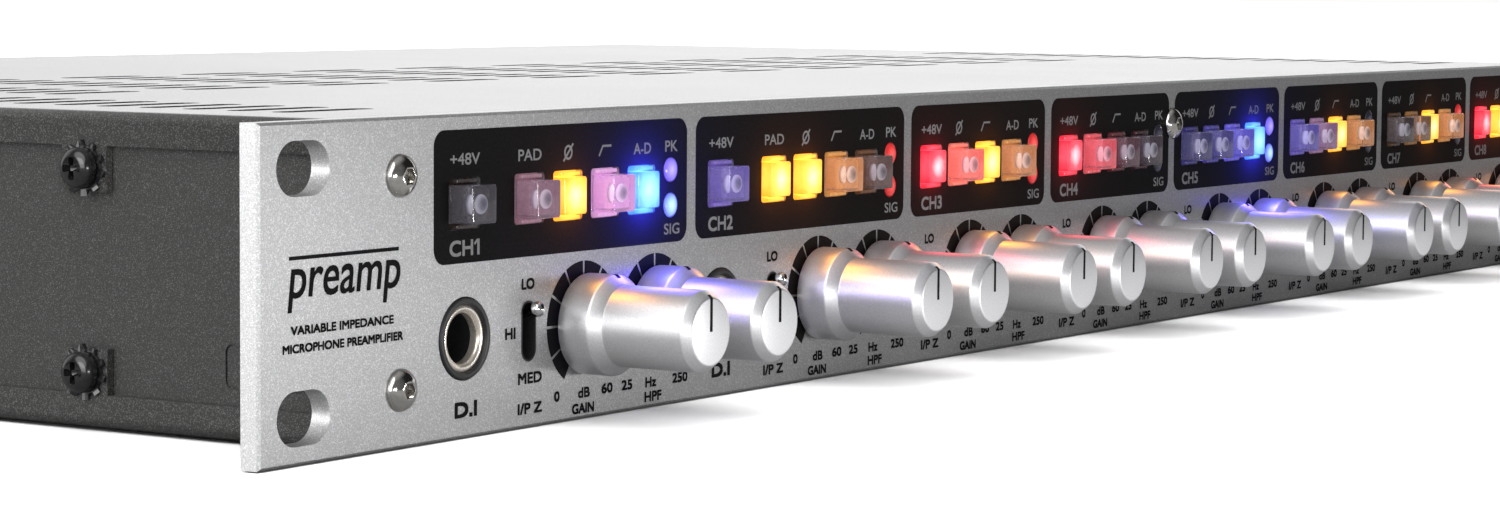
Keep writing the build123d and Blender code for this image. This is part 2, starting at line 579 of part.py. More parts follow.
PARTS = {
    "front_panel": front_panel(),
    "front_subpanel": front_subpanel(),
    "side_plates": side_plates(),
    "rear_panel": rear_panel(),
    "top_cover": top_cover(),
    "bottom_cover": bottom_cover(),
    "panel_screws": group([panel_screw(x, z) for x, z in PANEL_SCREWS]),
    "cover_screws": group([piece for side in (-1, 1) for y in TAB_SCREW_Y for s in (-1, 1)
                           for piece in cover_screw(side, y, s * TAB_SCREW_Z)]),
    "di_jacks": group([piece for x in JACK_XS for piece in jack(x)]),
    "indicator_lenses": group([lens(x, z) for x, z in LIGHTS]),
    "potentiometers": group([pot_body(x) for x in GAIN_XS + FILTER_XS]),
    "switch_bodies": group([push_switch_body(x, BUTTON_Z) for x in BUTTON_XS]
                           + [push_switch_body(POWER_X, POWER_Z)]
                           + [toggle_body(x) for x in TOGGLE_XS]),
    "control_board": control_board(),
    "main_board": main_board(),
    "power_supply": power_supply(),
    "mic_sockets": group([piece for x in MIC_XS for piece in mic_socket(x)]),
    "rear_sockets": rear_sockets(),
    "mains_inlet": mains_inlet(),
    "power_button": button(POWER_X, POWER_Z, True),
}
for number in range(1, CHANNELS + 1):
    PARTS[f"gain_knob_{number}"] = knob(GAIN_XS[number - 1])
    PARTS[f"filter_knob_{number}"] = knob(FILTER_XS[number - 1])
    PARTS[f"impedance_toggle_{number}"] = toggle(TOGGLE_XS[number - 1])
    if number <= WIDE_CHANNELS:
        for name in BUTTONS[number]:
            PARTS[f"{name}_button_{number}"] = channel_button(number, name)
    else:
        PARTS[f"button_bank_{number}"] = group([channel_button(number, name) for name in BUTTONS[number]
                                                if name not in LATCHED[number]])
PARTS["latched_buttons"] = group([channel_button(number, name)
                                  for number in range(WIDE_CHANNELS + 1, CHANNELS + 1)
                                  for name in LATCHED[number]])

os.makedirs("parts", exist_ok=True)
for node, shape in PARTS.items():
    export_step(shape, f"parts/{node}.step")
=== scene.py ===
import json
import math

import bmesh
import bpy
from mathutils import Matrix, Vector

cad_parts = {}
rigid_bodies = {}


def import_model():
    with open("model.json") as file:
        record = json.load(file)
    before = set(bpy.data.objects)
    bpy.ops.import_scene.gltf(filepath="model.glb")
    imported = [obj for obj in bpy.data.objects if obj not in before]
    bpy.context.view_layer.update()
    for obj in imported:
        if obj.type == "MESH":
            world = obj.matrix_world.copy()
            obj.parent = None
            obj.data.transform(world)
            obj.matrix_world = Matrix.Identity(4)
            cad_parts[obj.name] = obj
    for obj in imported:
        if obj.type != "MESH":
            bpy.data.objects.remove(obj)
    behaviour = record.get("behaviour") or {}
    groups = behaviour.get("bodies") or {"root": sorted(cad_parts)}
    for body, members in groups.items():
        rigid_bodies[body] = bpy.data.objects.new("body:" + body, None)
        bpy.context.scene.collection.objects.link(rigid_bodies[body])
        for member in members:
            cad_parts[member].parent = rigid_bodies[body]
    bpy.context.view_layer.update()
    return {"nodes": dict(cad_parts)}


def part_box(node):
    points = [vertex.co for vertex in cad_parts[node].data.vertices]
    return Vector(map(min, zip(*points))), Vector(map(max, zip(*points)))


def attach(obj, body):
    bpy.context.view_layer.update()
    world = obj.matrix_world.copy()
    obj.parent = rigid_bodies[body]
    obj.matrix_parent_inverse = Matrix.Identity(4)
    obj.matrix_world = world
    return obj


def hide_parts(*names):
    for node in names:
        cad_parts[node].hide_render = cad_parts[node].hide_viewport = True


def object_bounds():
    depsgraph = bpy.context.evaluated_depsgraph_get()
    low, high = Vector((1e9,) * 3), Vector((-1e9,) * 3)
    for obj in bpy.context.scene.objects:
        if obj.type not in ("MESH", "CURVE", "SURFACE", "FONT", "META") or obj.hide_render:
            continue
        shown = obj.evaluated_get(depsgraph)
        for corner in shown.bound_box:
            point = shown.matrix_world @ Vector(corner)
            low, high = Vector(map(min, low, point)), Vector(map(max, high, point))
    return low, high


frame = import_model()

MM = 0.001

# ---- places read from the frame


def centre(node):
    """Middle of a CAD node's box, in millimetres."""
    low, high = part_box(node)
    return (low + high) / 2 / MM


def corners(node):
    """Lowest and highest corners of a CAD node, in millimetres."""
    low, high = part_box(node)
    return low / MM, high / MM


CHANNELS = range(1, 9)
GAIN_X = {n: centre(f"gain_knob_{n}").x for n in CHANNELS}
FILTER_X = {n: centre(f"filter_knob_{n}").x for n in CHANNELS}
TOGGLE_X = {n: centre(f"impedance_toggle_{n}").x for n in CHANNELS}
KNOB_Z = centre("gain_knob_1").z
BUTTON_Z = centre("pad_button_1").z
KNOB_FRONT = corners("gain_knob_1")[0].y

# Layout of a channel strip, measured left from the right edge of its printed box
FILTER_INSET = 8.3
BUTTON_INSET = 11.8
BUTTON_PITCH = 9.1
FAR_INSET = 53.9
LIGHT_INSET = 4.3
TOGGLE_INSET = 39.2
WIDE_BOX = 60.7
NARROW_BOX = 45.6
BOX_LOW = 1.8
BOX_HIGH = 19.78
BOX_CORNER = 2.2
BUTTON_HOLE = 7.0
LIGHT_HOLE_RADIUS = 1.82
PEAK_Z = 12.35
SIGNAL_Z = 7.2
TOGGLE_SLOT = (3.5, 8.5)
TOGGLE_Z = -8.5
RIGHT = {n: FILTER_X[n] + FILTER_INSET for n in CHANNELS}
WIDTH = {n: WIDE_BOX if n <= 2 else NARROW_BOX for n in CHANNELS}


def button_columns(n):
    """Centre X of each push button of a channel."""
    right = RIGHT[n] - BUTTON_INSET
    columns = {"converter": right, "filter": right - BUTTON_PITCH, "phase": right - 2 * BUTTON_PITCH}
    if n <= 2:
        columns["pad"] = right - 3 * BUTTON_PITCH
        columns["phantom"] = RIGHT[n] - FAR_INSET
    else:
        columns["phantom"] = right - 3 * BUTTON_PITCH
    return columns


BUTTON_X = {n: button_columns(n) for n in CHANNELS}
LATCHED = {1: ("phase", "converter"), 2: ("pad", "phase"), 3: ("phantom", "filter"), 4: ("phantom",),
           5: ("converter",), 6: ("filter",), 7: ("filter",), 8: ("phantom", "phase")}
LIGHT_OF = {"phantom": "red", "pad": "amber", "phase": "amber", "filter": "amber", "converter": "blue"}
POWER = centre("power_button")

# ---- materials

GRAIN_HEIGHT = 0.00005
# How much noise shifts the edge of a glow, as a share of its reach
GLOW_RAGGED = 0.24


def new_material(name):
    """Empty node material with its Principled shader."""
    mat = bpy.data.materials.new(name)
    mat.use_nodes = True
    tree = mat.node_tree
    tree.nodes.clear()
    out = tree.nodes.new("ShaderNodeOutputMaterial")
    shader = tree.nodes.new("ShaderNodeBsdfPrincipled")
    tree.links.new(shader.outputs[0], out.inputs[0])
    return mat, tree, shader


def link(source, target):
    """Link between two sockets of one node tree."""
    source.id_data.links.new(source, target)


def assign(shader, **values):
    """Plain values on a shader's own sockets."""
    for key, value in values.items():
        shader.inputs[key.replace("_", " ")].default_value = value


def node(tree, kind, **values):
    """New node, with its properties or named inputs set."""
    made = tree.nodes.new(kind)
    for key, value in values.items():
        if hasattr(made, key):
            setattr(made, key, value)
        else:
            made.inputs[key.replace("_", " ")].default_value = value
    return made


def feed(target, value):
    """Socket fed by another socket, or set to a plain value."""
    if isinstance(value, bpy.types.NodeSocket):
        link(value, target)
    else:
        target.default_value = value


def calc(tree, operation, *values, kind="Math", output=0):
    """Output of a math node whose inputs are sockets or plain values."""
    made = node(tree, f"ShaderNode{kind}", operation=operation)
    for target, value in zip(made.inputs, values):
        feed(target, value)
    return made.outputs[output]


def mix(tree, factor, one, two, blend="MIX"):
    """Colour mixed from one to two by a factor; each is a socket or a plain value."""
    made = node(tree, "ShaderNodeMix", data_type="RGBA", blend_type=blend)
    for key, value in (("Factor", factor), ("A", one), ("B", two)):
        feed(made.inputs[key], value)
    return made.outputs["Result"]


def ramp(tree, source, stops):
    """Colour ramp fed by a value."""
    made = tree.nodes.new("ShaderNodeValToRGB")
    bar = made.color_ramp
    while len(bar.elements) < len(stops):
        bar.elements.new(0.5)
    for element, (place, colour) in zip(bar.elements, stops):
        element.position = place
        element.color = (*colour, 1)
    link(source, made.inputs[0])
    return made.outputs[0]


def remap(tree, source, **values):
    """Value mapped from one range to another, from 0..1 to 0..1 where the values don't say."""
    made = node(tree, "ShaderNodeMapRange", **values)
    link(source, made.inputs["Value"])
    return made.outputs[0]


def spread(tree, source, low, high):
    """Value mapped from 0..1 to low..high."""
    return remap(tree, source, To_Min=low, To_Max=high)


def texture(tree, kind, scale, **values):
    """Noise or cell texture in the object's own coordinates."""
    coords = tree.nodes.new("ShaderNodeTexCoord")
    made = node(tree, kind, Scale=scale, **values)
    link(coords.outputs["Object"], made.inputs["Vector"])
    return made


def noise(tree, scale, detail=2.0):
    """Value of a noise texture."""
    return texture(tree, "ShaderNodeTexNoise", scale, Detail=detail).outputs[0]


def bumpy(tree, shader, source, strength, height):
    """Bump on the shader from a value; the height is in metres."""
    bumped = node(tree, "ShaderNodeBump", Strength=strength, Distance=height)
    link(source, bumped.inputs["Height"])
    link(bumped.outputs[0], shader.inputs["Normal"])


def grained(name, dark, light, rough, metallic=0.0, grain=2500.0, *, bump, **sockets):
    """Material with fine grain in colour and height, and slow drift in roughness."""
    mat, tree, shader = new_material(name)
    fine = noise(tree, grain, 3.0)
    slow = noise(tree, 25.0)
    link(ramp(tree, fine, [(0.3, dark), (0.7, light)]), shader.inputs["Base Color"])
    link(spread(tree, slow, *rough), shader.inputs["Roughness"])
    bumpy(tree, shader, fine, bump, GRAIN_HEIGHT)
    assign(shader, Metallic=metallic, **sockets)
    return mat


def grained_with_painted_glints(name, dark, light, glint_colour, rough, metallic, cell, share, bump, height, **sockets):
    """Grained finish with bright flecks painted into its colour as glints of the grain: blasted metal, or
    textured paint.
    """
    mat, tree, shader = new_material(name)
    cells = texture(tree, "ShaderNodeTexVoronoi", cell, Randomness=1.0)
    split = tree.nodes.new("ShaderNodeSeparateColor")
    link(cells.outputs["Color"], split.inputs[0])
    fine = noise(tree, cell * 0.6, 3.0)
    slow = noise(tree, 18.0)
    body = ramp(tree, fine, [(0.3, dark), (0.7, light)])
    edge = 1 - share
    # Bright cells painted into the colour, standing in for glints of the grain
    painted_glints = ramp(tree, split.outputs[0], [(edge - 0.03, (0, 0, 0)), (edge + 0.03, (1, 1, 1))])
    link(mix(tree, painted_glints, body, (*glint_colour, 1)), shader.inputs["Base Color"])
    link(spread(tree, slow, *rough), shader.inputs["Roughness"])
    bumpy(tree, shader, fine, bump, height)
    assign(shader, Metallic=metallic, **sockets)
    return mat


def with_painted_spill(name, scale, dark, lighter, strength, rough):
    """Plastic with painted spill light: the colour of the lit buttons beside it, read from a vertex layer, is
    added to its colour and glows.
    """
    mat, tree, shader = new_material(name)
    slow = noise(tree, scale)
    body = ramp(tree, slow, [(0.3, dark), (0.7, tuple(lighter * c for c in dark))])
    caught = node(tree, "ShaderNodeAttribute", attribute_name="caught").outputs["Color"]
    # Painted spill light: the lit buttons' colour is added to the base colour and emitted
    link(mix(tree, 1.0, body, caught, "ADD"), shader.inputs["Base Color"])
    link(caught, shader.inputs["Emission Color"])
    assign(shader, Emission_Strength=strength)
    link(spread(tree, slow, *rough), shader.inputs["Roughness"])
    return mat, tree, shader, slow


def clear_plastic(name, tint):
    """Clear smoked plastic with faint haze, and painted spill light from the lit buttons near it."""
    mat, tree, shader, slow = with_painted_spill(name, 700.0, tint, 1.15, 0.12, (0.04, 0.14))
    bumpy(tree, shader, slow, 0.08, GRAIN_HEIGHT)
    assign(shader, Transmission_Weight=0.8, IOR=1.49)
    return mat


def glowing(name, core, middle, rim, strength, reach):
    """Lit plastic: brightest over its lamp, deeper in colour towards its edges; the reach is in millimetres.
    Unlit lamps and lenses use it too, for a painted glow.
    """
    mat, tree, shader = new_material(name)
    spot = node(tree, "ShaderNodeAttribute", attribute_name="spot")
    length = calc(tree, "LENGTH", spot.outputs["Vector"], kind="VectorMath", output="Value")
    away = remap(tree, length, From_Max=reach)
    ragged = noise(tree, 900.0)
    shift = calc(tree, "MULTIPLY_ADD", ragged, GLOW_RAGGED, away)
    colour = ramp(tree, shift, [(0.12, core), (0.6, middle), (1.0, rim)])
    link(colour, shader.inputs["Emission Color"])
    link(colour, shader.inputs["Base Color"])
    assign(shader, Emission_Strength=strength, Roughness=0.15)
    return mat


# The third colour of each is its painted glint flecks
BLASTED = grained_with_painted_glints("blasted_aluminium", (0.38, 0.38, 0.385), (0.54, 0.54, 0.545), (0.66, 0.66, 0.67),
                    (0.42, 0.48), 0.8, 7500.0, 0.18, 0.4, 0.00004)
COATED = grained_with_painted_glints("textured_coat", (0.016, 0.0155, 0.015), (0.044, 0.043, 0.041), (0.12, 0.118, 0.115),
                   (0.45, 0.52), 0.0, 8000.0, 0.15, 0.5, 0.00006, Coat_Weight=0.55, Coat_Roughness=0.26)
INK = grained("printing_ink", (0.008, 0.008, 0.008), (0.014, 0.0135, 0.013), (0.42, 0.55), bump=0.15,
              Specular_IOR_Level=0.03)
PALE_INK = grained("pale_ink", (0.23, 0.23, 0.235), (0.31, 0.31, 0.315), (0.5, 0.6), bump=0.1)
SATIN = grained("satin_knob", (0.80, 0.80, 0.82), (0.92, 0.92, 0.94), (0.36, 0.42), 0.85,
                grain=4000.0, bump=0.12)
STEEL = grained("polished_steel", (0.62, 0.60, 0.57), (0.74, 0.72, 0.69), (0.10, 0.17), 1.0,
                grain=1800.0, bump=0.04)
CHROME = grained("chrome_plate", (0.78, 0.78, 0.79), (0.86, 0.86, 0.87), (0.04, 0.09), 1.0,
                 grain=1200.0, bump=0.02)
BRASS = grained("warm_ferrule", (0.86, 0.78, 0.68), (0.96, 0.90, 0.82), (0.22, 0.32), 0.75,
                grain=1800.0, bump=0.05)
BLACKED = grained("black_oxide", (0.008, 0.008, 0.009), (0.018, 0.018, 0.02), (0.16, 0.30), 0.2, grain=1500.0,
                  bump=0.1, Coat_Weight=0.5)
ZINC = grained("zinc_plate", (0.42, 0.42, 0.40), (0.60, 0.60, 0.57), (0.28, 0.42), 1.0, grain=400.0, bump=0.08)
MOULDED = grained("black_moulding", (0.012, 0.012, 0.013), (0.022, 0.022, 0.024), (0.34, 0.48), bump=0.2)
BOARD = grained("solder_mask", (0.010, 0.07, 0.035), (0.02, 0.12, 0.06), (0.25, 0.4), grain=300.0, bump=0.1)
DARK_PARTS = grained("component_black", (0.02, 0.02, 0.022), (0.05, 0.05, 0.055), (0.3, 0.5),
                     grain=500.0, bump=0.1)
# Clear caps, with painted spill light from lit buttons near them
CLEAR = clear_plastic("clear_cap", (0.34, 0.33, 0.40))
# Unlit lamp inside each clear cap: its faint glow and bright rim are a painted glint
PAINTED_GLINT_LAMP = glowing("lamp_body", (0.10, 0.10, 0.14), (0.32, 0.32, 0.40), (0.95, 0.95, 1.0), 0.36, reach=1.45)
# Dark inner sleeve of the caps, with painted spill light from lit buttons as colour and glow
SLEEVE = with_painted_spill("cap_sleeve", 900.0, (0.018, 0.018, 0.024), 2.2, 0.5, (0.2, 0.35))[0]
# Lit caps: colours over the lamp, between and at the edges, then strength and reach
GLOW = {kind: glowing(f"{kind}_glow", *looks) for kind, looks in {
    "amber": ((1.0, 0.88, 0.46), (1.0, 0.58, 0.09), (0.94, 0.36, 0.02), 1.12, 4.4),
    "red": ((1.0, 0.62, 0.68), (0.92, 0.09, 0.13), (0.70, 0.02, 0.04), 1.1, 4.2),
    "blue": ((0.44, 0.82, 1.0), (0.20, 0.54, 1.0), (0.05, 0.20, 0.98), 1.1, 4.4),
}.items()}

# ---- mesh tools


def add_object(name, data):
    """New object in the scene."""
    made = bpy.data.objects.new(name, data)
    bpy.context.scene.collection.objects.link(made)
    return made


def finish_piece(name, bm, materials, body, replaced=(), *, angle):
    """Object in metres from a bmesh in millimetres, smooth up to an angle, riding on its body."""
    bmesh.ops.scale(bm, vec=(MM, MM, MM), verts=bm.verts)
    mesh = bpy.data.meshes.new(name)
    bm.to_mesh(mesh)
    bm.free()
    mesh.shade_smooth()
    mesh.set_sharp_from_angle(angle=math.radians(angle))
    for mat in materials:
        mesh.materials.append(mat)
    piece = add_object(name, mesh)
    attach(piece, body)
    if replaced:
        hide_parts(*replaced)
    return piece


def loft(bm, rings, mat=0, close=True):
    """Skin between rings of equal length; the end rings are closed with caps."""
    made = [[bm.verts.new(p) for p in ring] for ring in rings]
    faces = []
    count = len(made[0])
    for one, two in zip(made, made[1:]):
        for i in range(count):
            j = (i + 1) % count
            faces.append(bm.faces.new((one[i], one[j], two[j], two[i])))
    if close:
        faces.append(bm.faces.new(list(reversed(made[0]))))
        faces.append(bm.faces.new(made[-1]))
    for face in faces:
        face.material_index = mat
    return faces


def circle_y(x, z, radius, y, count):
    """Ring of points about an axis along Y."""
    angles = [math.tau * i / count for i in range(count)]
    return [(x + radius * math.sin(a), y, z + radius * math.cos(a)) for a in angles]


def lathe_y(bm, x, z, profile, count, mat=0, close=True):
    """Turned body about an axis along Y, from (radius, y) pairs."""
    return loft(bm, [circle_y(x, z, r, y, count) for r, y in profile], mat, close)


def rounded(half_w, half_h, radius, steps=5):
    """Rounded rectangle as (u, v) points."""
    points = []
    for k, (su, sv) in enumerate(((1, 1), (-1, 1), (-1, -1), (1, -1))):
        for i in range(steps + 1):
            a = math.radians(90 * k + 90 * i / steps)
            points.append((su * (half_w - radius) + radius * math.cos(a),
                           sv * (half_h - radius) + radius * math.sin(a)))
    return points


def block_y(bm, x, z, layers, mat=0):
    """Rounded block along Y, from (y, half width, half height, corner radius) layers."""
    return loft(bm, [[(x + u, y, z + v) for u, v in rounded(w, h, r)] for y, w, h, r in layers], mat)


def outward(bm):
    """Makes every closed shell face outwards."""
    bmesh.ops.recalc_face_normals(bm, faces=bm.faces)


def join_seams(bm):
    """Welds the points where a closed section meets itself, then faces every shell outwards."""
    bmesh.ops.remove_doubles(bm, verts=bm.verts, dist=0.0005)
    outward(bm)


def added(bm, start):
    """Vertices added to a bmesh since it had a number of them."""
    bm.verts.ensure_lookup_table()
    return bm.verts[start:]


def glow_layers(bm):
    """Vertex layers: the place round a lamp, and the painted spill light from lit caps."""
    return [bm.verts.layers.float_vector.new(name) for name in ("spot", "caught")]


# ---- camera

LENS = 89.0
AZIMUTH = math.radians(57.45)
ELEVATION = math.radians(4.484)
ROLL = math.radians(0.44)
EYE = Vector((-596.48, -299.35, 40.96)) * MM


def place_camera():
    """Camera at the left front of the unit, close and low."""
    forward = Vector((math.sin(AZIMUTH) * math.cos(ELEVATION), math.cos(AZIMUTH) * math.cos(ELEVATION),
                      -math.sin(ELEVATION)))
    right = forward.cross(Vector((0, 0, 1))).normalized()
    up = right.cross(forward)
    local_x = right * math.cos(ROLL) + up * math.sin(ROLL)
    local_y = up * math.cos(ROLL) - right * math.sin(ROLL)
    data = bpy.data.cameras.new("camera")
    data.lens = LENS
    data.sensor_width = 36.0
    data.clip_start = 0.01
    camera = add_object("camera", data)
    turn = Matrix((local_x, local_y, -forward)).transposed()
    camera.matrix_world = Matrix.Translation(EYE) @ turn.to_4x4()
    bpy.context.scene.camera = camera


place_camera()

# ---- printed graphics

INK_THICK = 0.025
# Shifted copies of a letter lie this far in front of each other, so that their faces don't meet
COPY_STEP = 0.0008


def flat_mesh(name, loops, thick):
    """Filled 2-D outlines with holes, in X and Z, from the panel's face forward."""
    curve = bpy.data.curves.new(name, "CURVE")
    curve.dimensions = "2D"
    curve.fill_mode = "BOTH"
    curve.extrude = thick / 2
    for points in loops:
        spline = curve.splines.new("POLY")
        spline.points.add(len(points) - 1)
        for point, (u, v) in zip(spline.points, points):
            point.co = (u, v, 0, 1)
        spline.use_cyclic_u = True
    mesh = curve_mesh(curve)
    mesh.transform(Matrix.Rotation(math.radians(90), 4, "X"))
    return mesh


def curve_mesh(curve):
    """Mesh of a curve or text, lying in X and Y."""
    holder = add_object(curve.name, curve)
    bpy.context.view_layer.update()
    mesh = bpy.data.meshes.new_from_object(holder.evaluated_get(bpy.context.evaluated_depsgraph_get()))
    bpy.data.objects.remove(holder)
    return mesh


def lettering(words, x, z, height, width, weight, slant=0.0):
    """Text fitted to a height and width about a centre; weight in millimetres thickens its strokes."""
    curve = bpy.data.curves.new(words, "FONT")
    curve.body = words
    curve.size = 1.0
    curve.shear = slant
    curve.resolution_u = 4
    mesh = curve_mesh(curve)
    us = [v.co.x for v in mesh.vertices]
    vs = [v.co.y for v in mesh.vertices]
    su = (width - weight) / (max(us) - min(us))
    sv = (height - weight) / (max(vs) - min(vs))
    mu, mv = (max(us) + min(us)) / 2, (max(vs) + min(vs)) / 2
    for v in mesh.vertices:
        v.co = (x + (v.co.x - mu) * su, -INK_THICK * 1.3, z + (v.co.y - mv) * sv)
    copies = []
    for k, (du, dv) in enumerate(((-0.5, -0.5), (0.5, -0.5), (-0.5, 0.5), (0.5, 0.5), (0, 0))):
        copy = mesh.copy()
        copy.transform(Matrix.Translation((du * weight, -COPY_STEP * k, dv * weight)))
        copies.append(copy)
    return copies


def gather(name, meshes, mat, body):
    """One piece from several meshes in millimetres."""
    bm = bmesh.new()
    for mesh in meshes:
        bm.from_mesh(mesh)
    return finish_piece(name, bm, [mat], body, angle=30)


def shifted(points, x, z):
    """Outline moved in X and Z."""
    return [(x + u, z + v) for u, v in points]


def circle(radius, count=32):
    """Outline of a circle about its centre."""
    angles = [math.tau * i / count for i in range(count)]
    return [(radius * math.cos(a), radius * math.sin(a)) for a in angles]


def channel_box(n):
    """Printed box of a channel, open where its buttons and lights pass through."""
    x = RIGHT[n] - WIDTH[n] / 2
    z = (BOX_LOW + BOX_HIGH) / 2
    loops = [shifted(rounded(WIDTH[n] / 2, (BOX_HIGH - BOX_LOW) / 2, BOX_CORNER, 8), x, z)]
    button_hole = rounded(BUTTON_HOLE / 2, BUTTON_HOLE / 2, 0.5, 3)
    loops += [shifted(button_hole, bx, BUTTON_Z) for bx in BUTTON_X[n].values()]
    loops += [shifted(circle(LIGHT_HOLE_RADIUS), RIGHT[n] - LIGHT_INSET, lz) for lz in (PEAK_Z, SIGNAL_Z)]
    return flat_mesh(f"box_{n}", loops, INK_THICK)


RING_OUTER = 8.85
RING_INNER = 5.0
RING_GAP = math.radians(1.3)


def ring_segments(x):
    """Printed knob scale: ten dark segments with thin gaps between them."""
    loops = []
    for k in range(10):
        start = math.radians(-150 + 30 * k) + RING_GAP
        stop = math.radians(-120 + 30 * k) - RING_GAP
        arc = [start + (stop - start) * i / 8 for i in range(9)]
        outer = [(x + RING_OUTER * math.sin(a), KNOB_Z + RING_OUTER * math.cos(a)) for a in arc]
        inner = [(x + RING_INNER * math.sin(a), KNOB_Z + RING_INNER * math.cos(a)) for a in reversed(arc)]
        loops.append(outer + inner)
    return flat_mesh("scale", loops, INK_THICK)


def stroke(points, width):
    """Thin line through points, as one closed outline."""
    left, right = [], []
    for i, point in enumerate(points):
        before = Vector(points[max(i - 1, 0)])
        after = Vector(points[min(i + 1, len(points) - 1)])
        along = (after - before).normalized()
        side = Vector((-along.y, along.x)) * width / 2
        left.append(tuple(Vector(point) + side))
        right.append(tuple(Vector(point) - side))
    return left + list(reversed(right))


# Height and weight of a set of words, then each word with its offset in X, its Z and its width. The offset of
# the button and knob words is from the box's right edge, and of the toggle words from the toggle.
BUTTON_WORDS = (1.6, 0.06, (("A-D", -11.65, 15.7, 4.4), ("PK", -4.15, 15.8, 3.2), ("SIG", -3.95, 3.75, 4.0)))
TOGGLE_WORDS = (1.6, 0.18, (("LO", -0.2, -1.95, 3.0), ("HI", -4.3, -8.55, 2.4), ("MED", 0.3, -15.0, 5.6),
                            ("I/P Z", 0.3, -19.2, 5.7)))
KNOB_WORDS = (1.5, 0.17, (("0", -32.5, -18.2, 1.3), ("dB", -25.95, -18.2, 2.9), ("60", -20.25, -18.1, 2.8),
                          ("GAIN", -26.15, -20.4, 5.4), ("25", -15.25, -18.1, 2.7), ("Hz", -9.15, -18.2, 2.8),
                          ("250", -1.55, -18.2, 4.0), ("HPF", -8.55, -20.3, 4.4)))
# Words at the panel's left end: text, X, Z, height, width, weight and slant
TITLE_WORDS = (("VARIABLE IMPEDANCE", -224.6, -4.6, 1.2, 21.0, 0.14, 0.0),
               ("MICROPHONE PREAMPLIFIER", -224.4, -6.9, 1.2, 24.6, 0.14, 0.0))
SYMBOL_WIDTH = 0.32
POWER_SYMBOL_Z = 9.2


def words_beside(x, height, weight, words):
    """Lettering of a set of words, each set off from an X."""
    made = []
    for word, offset, z, width in words:
        made += lettering(word, x + offset, z, height, width, weight)
    return made


def channel_symbols(r):
    """Filter and phase symbols over their buttons, from the box's right edge."""
    slope = [stroke([(r - 22.45, 15.0), (r - 21.55, 16.4), (r - 19.45, 16.4)], SYMBOL_WIDTH)]
    oval = [[(r - 29.95 + u * 0.95, 15.8 + v) for u, v in circle(radius)] for radius in (1.05, 0.72)]
    bar = [stroke([(r - 31.1, 14.6), (r - 28.8, 17.0)], SYMBOL_WIDTH)]
    return [flat_mesh("slope", slope, INK_THICK * 2.4), flat_mesh("oval", oval, INK_THICK * 2.4),
            flat_mesh("bar", bar, INK_THICK * 2.5)]


def power_symbol(x):
    """Ring with a bar at its top, over the power light."""
    ring = [shifted(circle(radius), x, POWER_SYMBOL_Z) for radius in (1.5, 1.15)]
    bar = [stroke([(x, POWER_SYMBOL_Z), (x, POWER_SYMBOL_Z + 2.2)], 0.4)]
    return [flat_mesh("power_ring", ring, INK_THICK), flat_mesh("power_bar", bar, INK_THICK * 1.2)]


def print_panel():
    """Everything printed on the front panel."""
    black = [channel_box(n) for n in CHANNELS]
    grey = []
    for n in CHANNELS:
        black += [ring_segments(GAIN_X[n]), ring_segments(FILTER_X[n])]
        r = RIGHT[n]
        left = r - WIDTH[n]
        grey += words_beside(r, *BUTTON_WORDS)
        grey += channel_symbols(r)
        grey += lettering("+48V", BUTTON_X[n]["phantom"] + 0.1, 15.8, 1.6, 6.6, 0.06)
        grey += lettering(f"CH{n}", left + 6.8, 3.85, 2.2, 6.7, 0.16)
        if n == 1:
            one = left + 9.72
            grey.append(flat_mesh("flag", [stroke([(one - 0.7, 4.25), (one, 4.85)], 0.34)], INK_THICK * 2.6))
        if n <= 2:
            grey += lettering("PAD", r - 39.05, 15.8, 1.6, 5.4, 0.06)
            black += lettering("D.I", r - 53.55, -18.0, 2.2, 5.0, 0.28)
        black += words_beside(r - TOGGLE_INSET, *TOGGLE_WORDS)
        black += words_beside(r, *KNOB_WORDS)
    black += lettering("preamp", -224.2, 0.5, 5.6, 23.0, 0.14, 0.15)
    black.append(flat_mesh("rule", [stroke([(-235.4, 4.6), (-213.0, 4.6)], 0.5)], INK_THICK))
    for row in TITLE_WORDS:
        black += lettering(*row)
    black += power_symbol(POWER.x)
    gather("panel_print_black", black, INK, "chassis")
    gather("panel_print_grey", grey, PALE_INK, "chassis")


print_panel()

# ---- knobs


def knob_profile():
    """Outline of a knob in (radius, y), from its back to its front, with softened edges."""
    low, high = corners("gain_knob_1")
    skirt = (high.x - low.x) / 2
    front = low.y
    return [(2.95, -0.62), (skirt - 0.25, -0.60), (skirt - 0.06, -0.67), (skirt, -0.85), (skirt, -5.35),
            (skirt - 0.05, -5.55), (skirt - 0.16, -5.72), (5.95, -7.05), (5.80, -7.18), (5.75, -7.40),
            (5.75, front + 1.45), (5.72, front + 1.32), (5.64, front + 1.18), (4.88, front + 0.20),
            (4.78, front + 0.09), (4.66, front + 0.03), (4.5, front)]


POINTER_HALF = 0.31


def mark_section(x, z, y, down, deep):
    """Cross-section of a knob's black mark: two points on its surface and two below or behind them."""
    left, right = x - POINTER_HALF, x + POINTER_HALF
    return [(left, y, z), (right, y, z), (right, y + deep, z - down), (left, y + deep, z - down)]


def knob_marks(bm, x, name):
    """Pointer of black filler from the middle of the face to its edge, and a notch on the skirt above it."""
    line = ((0.05, -0.03, 0.16), (4.66, -0.03, 0.16), (4.94, 0.22, 0.1), (5.12, 0.46, 0.06))
    pointer = [mark_section(x, KNOB_Z + z, KNOB_FRONT + y, 0.1, deep) for z, y, deep in line]
    skirt = (corners(name)[1].x - corners(name)[0].x) / 2
    edge = ((-5.15, skirt + 0.02), (-5.62, skirt + 0.01), (-6.1, skirt - 0.33))
    notch = [mark_section(x, KNOB_Z + z, y, 0.3, 0.0) for y, z in edge]
    return loft(bm, pointer, mat=1) + loft(bm, notch, mat=1)


